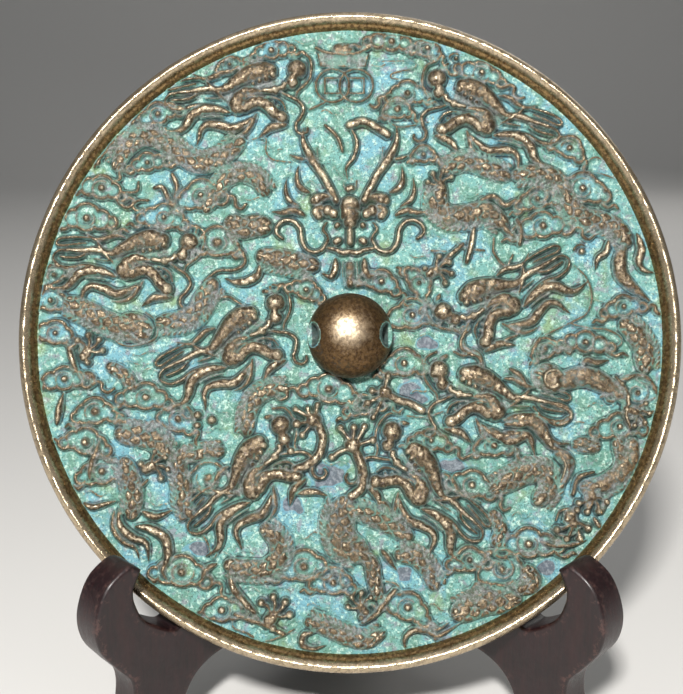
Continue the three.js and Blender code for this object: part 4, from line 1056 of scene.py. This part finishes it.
class Graph:
    """Short ways to add nodes to one tree. A value may be a number, a colour or another node's socket."""

    def __init__(self, tree):
        self.tree = tree

    def put(self, socket, value):
        if isinstance(value, bpy.types.NodeSocket):
            self.tree.links.new(value, socket)
        else:
            socket.default_value = value

    def add(self, kind, **settings):
        node = self.tree.nodes.new(kind)
        for key, value in settings.items():
            setattr(node, key, value)
        return node

    def math(self, operation, a, b=0.0):
        node = self.add("ShaderNodeMath", operation=operation)
        self.put(node.inputs[0], a)
        self.put(node.inputs[1], b)
        return node.outputs[0]

    def times(self, a, b):
        return self.math("MULTIPLY", a, b)

    def plus(self, a, b):
        return self.math("ADD", a, b)

    def minus(self, a, b):
        return self.math("SUBTRACT", a, b)

    def noise(self, vector, scale, detail=3.0, roughness=0.55, shift=0.0):
        node = self.add("ShaderNodeTexNoise")
        if shift:
            move = self.add("ShaderNodeVectorMath", operation="ADD")
            self.put(move.inputs[0], vector)
            move.inputs[1].default_value = (shift, shift * 0.7, -shift)
            vector = move.outputs[0]
        self.put(node.inputs["Vector"], vector)
        node.inputs["Scale"].default_value = scale
        node.inputs["Detail"].default_value = detail
        node.inputs["Roughness"].default_value = roughness
        return node.outputs[0]

    def step(self, value, low, high, to_low=0.0, to_high=1.0):
        """Smooth step from to_low to to_high while the value goes from low to high."""
        node = self.add("ShaderNodeMapRange", interpolation_type="SMOOTHSTEP")
        for place, number in enumerate((value, low, high, to_low, to_high)):
            self.put(node.inputs[place], number)
        return node.outputs[0]

    def mix(self, share, a, b, blend="MIX"):
        node = self.add("ShaderNodeMix", data_type="RGBA", blend_type=blend)
        self.put(node.inputs[0], share)
        self.put(node.inputs[6], a)
        self.put(node.inputs[7], b)
        return node.outputs[2]

    def attribute(self, name, output="Fac"):
        node = self.add("ShaderNodeAttribute", attribute_name=name)
        return node.outputs[output]

    def bump(self, height, strength=1.0):
        """Normal of a surface with this fine height, in millimetres."""
        node = self.add("ShaderNodeBump")
        node.inputs["Distance"].default_value = MM
        node.inputs["Strength"].default_value = strength
        self.put(node.inputs["Height"], height)
        return node.outputs[0]

    def place(self):
        """Object coordinates in millimetres."""
        where = self.add("ShaderNodeTexCoord")
        scale = self.add("ShaderNodeMapping")
        self.put(scale.inputs["Vector"], where.outputs["Object"])
        scale.inputs["Scale"].default_value = (1000, 1000, 1000)
        return scale.outputs[0]


def group(name, inputs, outputs):
    """Empty shader node group with named sockets, and its graph."""
    tree = bpy.data.node_groups.new(name, "ShaderNodeTree")
    for label, kind in inputs:
        tree.interface.new_socket(label, in_out="INPUT", socket_type="NodeSocket" + kind)
    for label, kind in outputs:
        tree.interface.new_socket(label, in_out="OUTPUT", socket_type="NodeSocket" + kind)
    graph = Graph(tree)
    return tree, graph, graph.add("NodeGroupInput").outputs, graph.add("NodeGroupOutput").inputs


def patina_group():
    """Turquoise crust over old bronze: colour, roughness, metal share and fine height by place and masks."""
    tree, g, given, out = group(
        "patina_over_bronze",
        [("Place", "Vector")]
        + [(label, "Float") for label in ("Metal", "Raised", "Break Up", "Grime And Shade", "Bare")]
        + [("Bronze Dark", "Color"), ("Bronze Light", "Color")],
        [("Color", "Color"), ("Roughness", "Float"), ("Metallic", "Float"), ("Height", "Float")])
    place = given["Place"]
    broad = g.noise(place, 0.075, 4.0, 0.6)
    patches = g.noise(place, 0.17, 4.0, 0.6, 31.0)
    grain = g.noise(place, 0.85, 4.0, 0.65, 67.0)
    speck = g.noise(place, 1.9, 3.0, 0.7, 12.0)
    crust = g.mix(g.step(patches, 0.38, 0.60), CRUST_GREEN, CRUST_TURQUOISE)
    crust = g.mix(g.step(broad, 0.48, 0.64, 0.0, 0.9), crust, CRUST_SKY)
    crust = g.mix(g.step(g.noise(place, 0.10, 3.0, 0.5, 55.0), 0.58, 0.74, 0.0, 0.8), crust, CRUST_OLIVE)
    crust = g.mix(g.step(g.noise(place, 0.30, 4.0, 0.6, 88.0), 0.54, 0.66, 0.0, 0.7), crust, CRUST_GREY)
    crust = g.mix(g.step(grain, 0.50, 0.66, 0.0, 0.8), crust, CRUST_PALE)
    crust = g.mix(g.step(speck, 0.34, 0.50, 0.75, 0.0), crust, CRUST_DEEP)
    flank = g.mix(g.step(grain, 0.42, 0.56), FLANK_BROWN, FLANK_GREY)
    flank = g.mix(g.step(patches, 0.48, 0.62), flank, FLANK_GREEN)
    flank = g.mix(g.step(speck, 0.56, 0.68, 0.0, 0.5), flank, CRUST_PALE)
    crust = g.mix(g.times(given["Raised"], 0.8), crust, flank)
    metal = g.mix(g.step(grain, 0.36, 0.64), given["Bronze Dark"], given["Bronze Light"])
    metal = g.mix(g.times(g.step(speck, 0.56, 0.68, 0.0, 0.5), given["Break Up"]), metal, CRUST_GREY)
    uneven = g.plus(g.times(g.minus(patches, 0.5), 0.9),
                    g.times(g.minus(grain, 0.5), 1.1))
    worn = g.plus(given["Metal"], g.times(uneven, given["Break Up"]))
    share = g.step(worn, 0.26, 0.58)
    base = g.mix(share, crust, metal)
    # Pale rubbed metal where the metal share runs highest: wear on the relief's crests, painted highlight on
    # the knob's and rim's crests.
    rubbed = g.step(worn, 0.70, 1.20, 0.0, 0.75)
    base = g.mix(rubbed, base, RUBBED_AND_HIGHLIGHT)
    bare_edge = g.times(g.step(given["Bare"], 0.04, 0.30), g.step(given["Bare"], 0.75, 0.40))
    base = g.mix(g.times(bare_edge, 0.7), base, BARE_BORDER)
    bare = g.mix(g.step(grain, 0.4, 0.62), BARE_DARK, BARE_LIGHT)
    base = g.mix(g.step(given["Bare"], 0.45, 0.75, 0.0, 0.9), base, bare)
    # Near-black in hollows and deep in the cord hole: partly grime, partly painted shade.
    grime_shade_share = g.plus(given["Grime And Shade"], g.times(g.minus(speck, 0.5), 0.5))
    grime_shade_share = g.plus(grime_shade_share, g.times(g.minus(patches, 0.5), 0.5))
    base = g.mix(g.step(grime_shade_share, 0.26, 0.80, 0.0, 0.88), base, GRIME_AND_SHADE_DARK)
    g.put(out["Color"], base)
    g.put(out["Metallic"], g.times(share, 0.85))
    rough = g.step(grain, 0.3, 0.7, 0.70, 0.50)
    g.put(out["Roughness"], g.minus(rough, g.times(share, 0.26)))
    height = g.times(g.minus(grain, 0.5), 0.34)
    height = g.plus(height, g.times(g.minus(speck, 0.5), 0.22))
    g.put(out["Height"], height)
    return tree


def new_material(name):
    """Material with its graph and its shader."""
    material = bpy.data.materials.new(name)
    material.use_nodes = True
    g = Graph(material.node_tree)
    return material, g, g.tree.nodes["Principled BSDF"]


def bronze(name, skin_group, dark, light, masks, rough_shift=0.0, relief=1.0):
    """Bronze of one piece: the shared patina with its own masks, as numbers or functions of its graph."""
    material, g, shader = new_material(name)
    skin = g.add("ShaderNodeGroup", node_tree=skin_group)
    given = {"Place": g.place(), "Bronze Dark": dark, "Bronze Light": light}
    given.update({label: value(g) if callable(value) else value for label, value in masks.items()})
    for label, value in given.items():
        g.put(skin.inputs[label], value)
    g.put(shader.inputs["Base Color"], skin.outputs["Color"])
    g.put(shader.inputs["Metallic"], skin.outputs["Metallic"])
    rough = skin.outputs["Roughness"]
    g.put(shader.inputs["Roughness"], g.plus(rough, rough_shift) if rough_shift else rough)
    g.put(shader.inputs["Normal"], g.bump(skin.outputs["Height"], relief))
    return material


def relief_metal(g):
    """How far the relief shows its metal: little on low forms, more on high ones, most on worn crests."""
    high = g.step(g.attribute("high"), 1.35, 2.7, 0.0, 0.40)
    return g.plus(high, g.times(g.attribute("wear"), 0.62))


def bore_grime_and_shade(g):
    """Grime and painted shade in the cord hole: clean at its mouths, black further in."""
    across = g.add("ShaderNodeSeparateXYZ")
    g.put(across.inputs[0], g.place())
    deep = g.step(g.math("ABSOLUTE", across.outputs[0]), 12.6, 11.0)
    return g.times(g.attribute("tunnel"), g.plus(g.times(deep, 1.3), 0.1))


def varnished_wood():
    """Dark red-brown varnish over straight grain, rubbed along the edges."""
    material, g, shader = new_material("varnished_wood")
    grain = g.attribute("grain", "Vector")
    stretch = g.add("ShaderNodeMapping")
    g.put(stretch.inputs["Vector"], grain)
    stretch.inputs["Scale"].default_value = (0.35, 1.0, 0.06)
    fibre = g.noise(stretch.outputs[0], 2.6, 5.0, 0.65)
    band = g.noise(stretch.outputs[0], 0.5, 3.0, 0.5, 9.0)
    cast = g.noise(grain, 0.06, 3.0, 0.5)
    base = g.mix(g.step(fibre, 0.35, 0.65), WOOD_DARK, WOOD_MID)
    base = g.mix(g.step(band, 0.45, 0.7, 0.0, 0.5), base, WOOD_RED)
    base = g.mix(g.step(cast, 0.4, 0.7, 0.0, 0.4), base, WOOD_PLUM)
    chafe = g.noise(grain, 0.5, 4.0, 0.7, 21.0)
    edge = g.times(g.attribute("edge"), g.step(chafe, 0.50, 0.66))
    base = g.mix(g.times(edge, 0.55), base, WOOD_WORN)
    g.put(shader.inputs["Base Color"], base)
    g.put(shader.inputs["Roughness"], g.step(chafe, 0.3, 0.7, 0.40, 0.52))
    shader.inputs["Coat Weight"].default_value = 0.2
    shader.inputs["Coat Roughness"].default_value = 0.22
    g.put(shader.inputs["Normal"], g.bump(g.times(g.minus(fibre, 0.5), 0.10)))
    return material


def plain(name, shade, roughness):
    material, _, shader = new_material(name)
    shader.inputs["Base Color"].default_value = shade
    shader.inputs["Roughness"].default_value = roughness
    return material


CRUST_TURQUOISE = colour(104, 158, 152)
CRUST_GREEN = colour(92, 138, 122)
CRUST_SKY = colour(104, 158, 174)
CRUST_PALE = colour(190, 220, 206)
CRUST_DEEP = colour(34, 58, 56)
CRUST_OLIVE = colour(126, 150, 102)
CRUST_GREY = colour(134, 130, 142)
FLANK_BROWN = colour(76, 70, 54)
FLANK_GREY = colour(120, 112, 112)
FLANK_GREEN = colour(90, 120, 104)
METAL_DARK = colour(72, 60, 46)
METAL_LIGHT = colour(140, 124, 100)
# Pale rubbed metal, also a painted highlight on the knob and the rim.
RUBBED_AND_HIGHLIGHT = colour(232, 216, 188)
# Near-black of grime and painted shade.
GRIME_AND_SHADE_DARK = colour(24, 28, 25)
BARE_DARK = colour(78, 82, 94)
BARE_LIGHT = colour(118, 122, 132)
BARE_BORDER = colour(88, 140, 160)
RIM_DARK = colour(92, 72, 46)
RIM_LIGHT = colour(150, 124, 84)
KNOB_DARK = colour(70, 52, 32)
KNOB_LIGHT = colour(110, 86, 56)
WOOD_DARK = colour(20, 9, 10)
WOOD_MID = colour(34, 14, 16)
WOOD_RED = colour(48, 19, 18)
WOOD_PLUM = colour(36, 17, 22)
WOOD_WORN = colour(92, 64, 58)


# -------------------- studio and camera --------------------

def studio():
    """Pale floor that sweeps up behind: floor, quarter-circle cove and wall, one profile carried along x."""
    a = np.linspace(0, np.pi / 2, 16)
    y = np.r_[-3.0, 1.4, 1.4 + 0.8 * np.sin(a[1:]), 2.2]
    z = np.r_[0.0, 0.0, 0.8 - 0.8 * np.cos(a[1:]), 3.2]
    n = len(y)
    points = np.vstack([np.stack([np.full(n, x), y, z], 1) for x in (-4.0, 4.0)])
    i = np.arange(n - 1)
    floor = add_mesh("floor", points, np.stack([i, i + n, i + n + 1, i + 1], -1))
    floor.data.materials.append(plain("pale_floor", FLOOR_COLOUR, 0.8))


def area_light(name, place, aim, width, height, power, shade):
    light = bpy.data.lights.new(name, "AREA")
    light.shape = "RECTANGLE"
    light.size, light.size_y, light.energy, light.color = width, height, power, shade
    lamp = bpy.data.objects.new(name, light)
    lamp.location = place
    lamp.rotation_euler = (Vector(aim) - Vector(place)).to_track_quat("-Z", "Y").to_euler()
    bpy.context.scene.collection.objects.link(lamp)


def camera():
    centre = Vector((0, MIRROR_Y, MIRROR_Z)) * MM
    back = Vector((0, -np.cos(EYE_TILT), np.sin(EYE_TILT)))
    lens = bpy.data.cameras.new("camera")
    lens.lens, lens.sensor_width, lens.sensor_fit = EYE_LENS, 36.0, "HORIZONTAL"
    lens.shift_x, lens.shift_y = EYE_SHIFT
    lens.clip_start, lens.clip_end = 0.01, 50
    eye = bpy.data.objects.new("camera", lens)
    eye.location = centre + back * EYE_DISTANCE
    eye.rotation_euler = (-back).to_track_quat("-Z", "Y").to_euler()
    bpy.context.scene.collection.objects.link(eye)
    bpy.context.scene.camera = eye


def main():
    face = carve()
    finish_face(face)
    skin = patina_group()
    relief_skin = bronze("relief_bronze", skin, METAL_DARK, METAL_LIGHT, {
        "Metal": relief_metal, "Raised": lambda g: g.step(g.attribute("high"), 0.45, 1.3),
        "Grime And Shade": lambda g: g.attribute("dirt"), "Bare": lambda g: g.attribute("bare"), "Break Up": 1.0})
    # The rim's crest mask lifts its bead top to pale metal: partly rubbing, partly a painted highlight.
    rim_skin = bronze("rim_bronze", skin, RIM_DARK, RIM_LIGHT, {
        "Metal": lambda g: g.plus(g.minus(0.62, g.times(g.attribute("back"), 0.16)),
                                  g.times(g.attribute("crest"), 0.36)),
        "Break Up": lambda g: g.plus(0.3, g.times(g.attribute("back"), 0.9))},
        -0.08, 0.35)
    # The knob's crest mask turns its top to pale metal: partly rubbing, partly a painted highlight.
    knob_skin = bronze("knob_bronze", skin, KNOB_DARK, KNOB_LIGHT, {
        "Metal": lambda g: g.minus(g.plus(0.60, g.times(g.attribute("crest"), 0.38)),
                                  g.attribute("tunnel")), "Break Up": 0.35, "Grime And Shade": bore_grime_and_shade}, 0.12, 0.2)
    pieces = []
    for name, low, high in BANDS:
        piece = relief_band(name, face, low, high)
        piece.data.materials.append(relief_skin)
        pieces.append(piece)
    # Crest: the bead's top turns to paler metal, partly rubbing, partly a painted highlight that widens its
    # bright band.
    crest = np.clip((PLATE[:, 1] + 0.4) / 1.6, 0, 1)
    back = np.clip((BACK_Z + 1 - PLATE[:, 1]) / 0.6, 0, 1)
    plate = turned("plate_and_rim", PLATE, RIM_FACETS, {"crest": crest, "back": back}, rim_wear)
    plate.data.materials.append(rim_skin)
    dome = knob()
    dome.data.materials.clear()
    dome.data.materials.append(knob_skin)
    for piece in pieces + [plate, dome]:
        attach(piece, "root")
        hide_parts("mirror")
    timber = varnished_wood()
    for node, side in (("stand_leaf_left", -1), ("stand_leaf_right", 1)):
        piece = board(node.replace("leaf", "board"), side)
        piece.data.materials.append(timber)
        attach(piece, "root")
        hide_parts(node)
    studio()
    for row in LIGHTS:
        area_light(*row)
    world = bpy.data.worlds.new("soft_room")
    world.use_nodes = True
    world.node_tree.nodes["Background"].inputs["Color"].default_value = SKY_COLOUR
    world.node_tree.nodes["Background"].inputs["Strength"].default_value = SKY_STRENGTH
    bpy.context.scene.world = world
    camera()


PLATE = plate_profile()
main()
bpy.context.scene.view_settings.view_transform = "Standard"
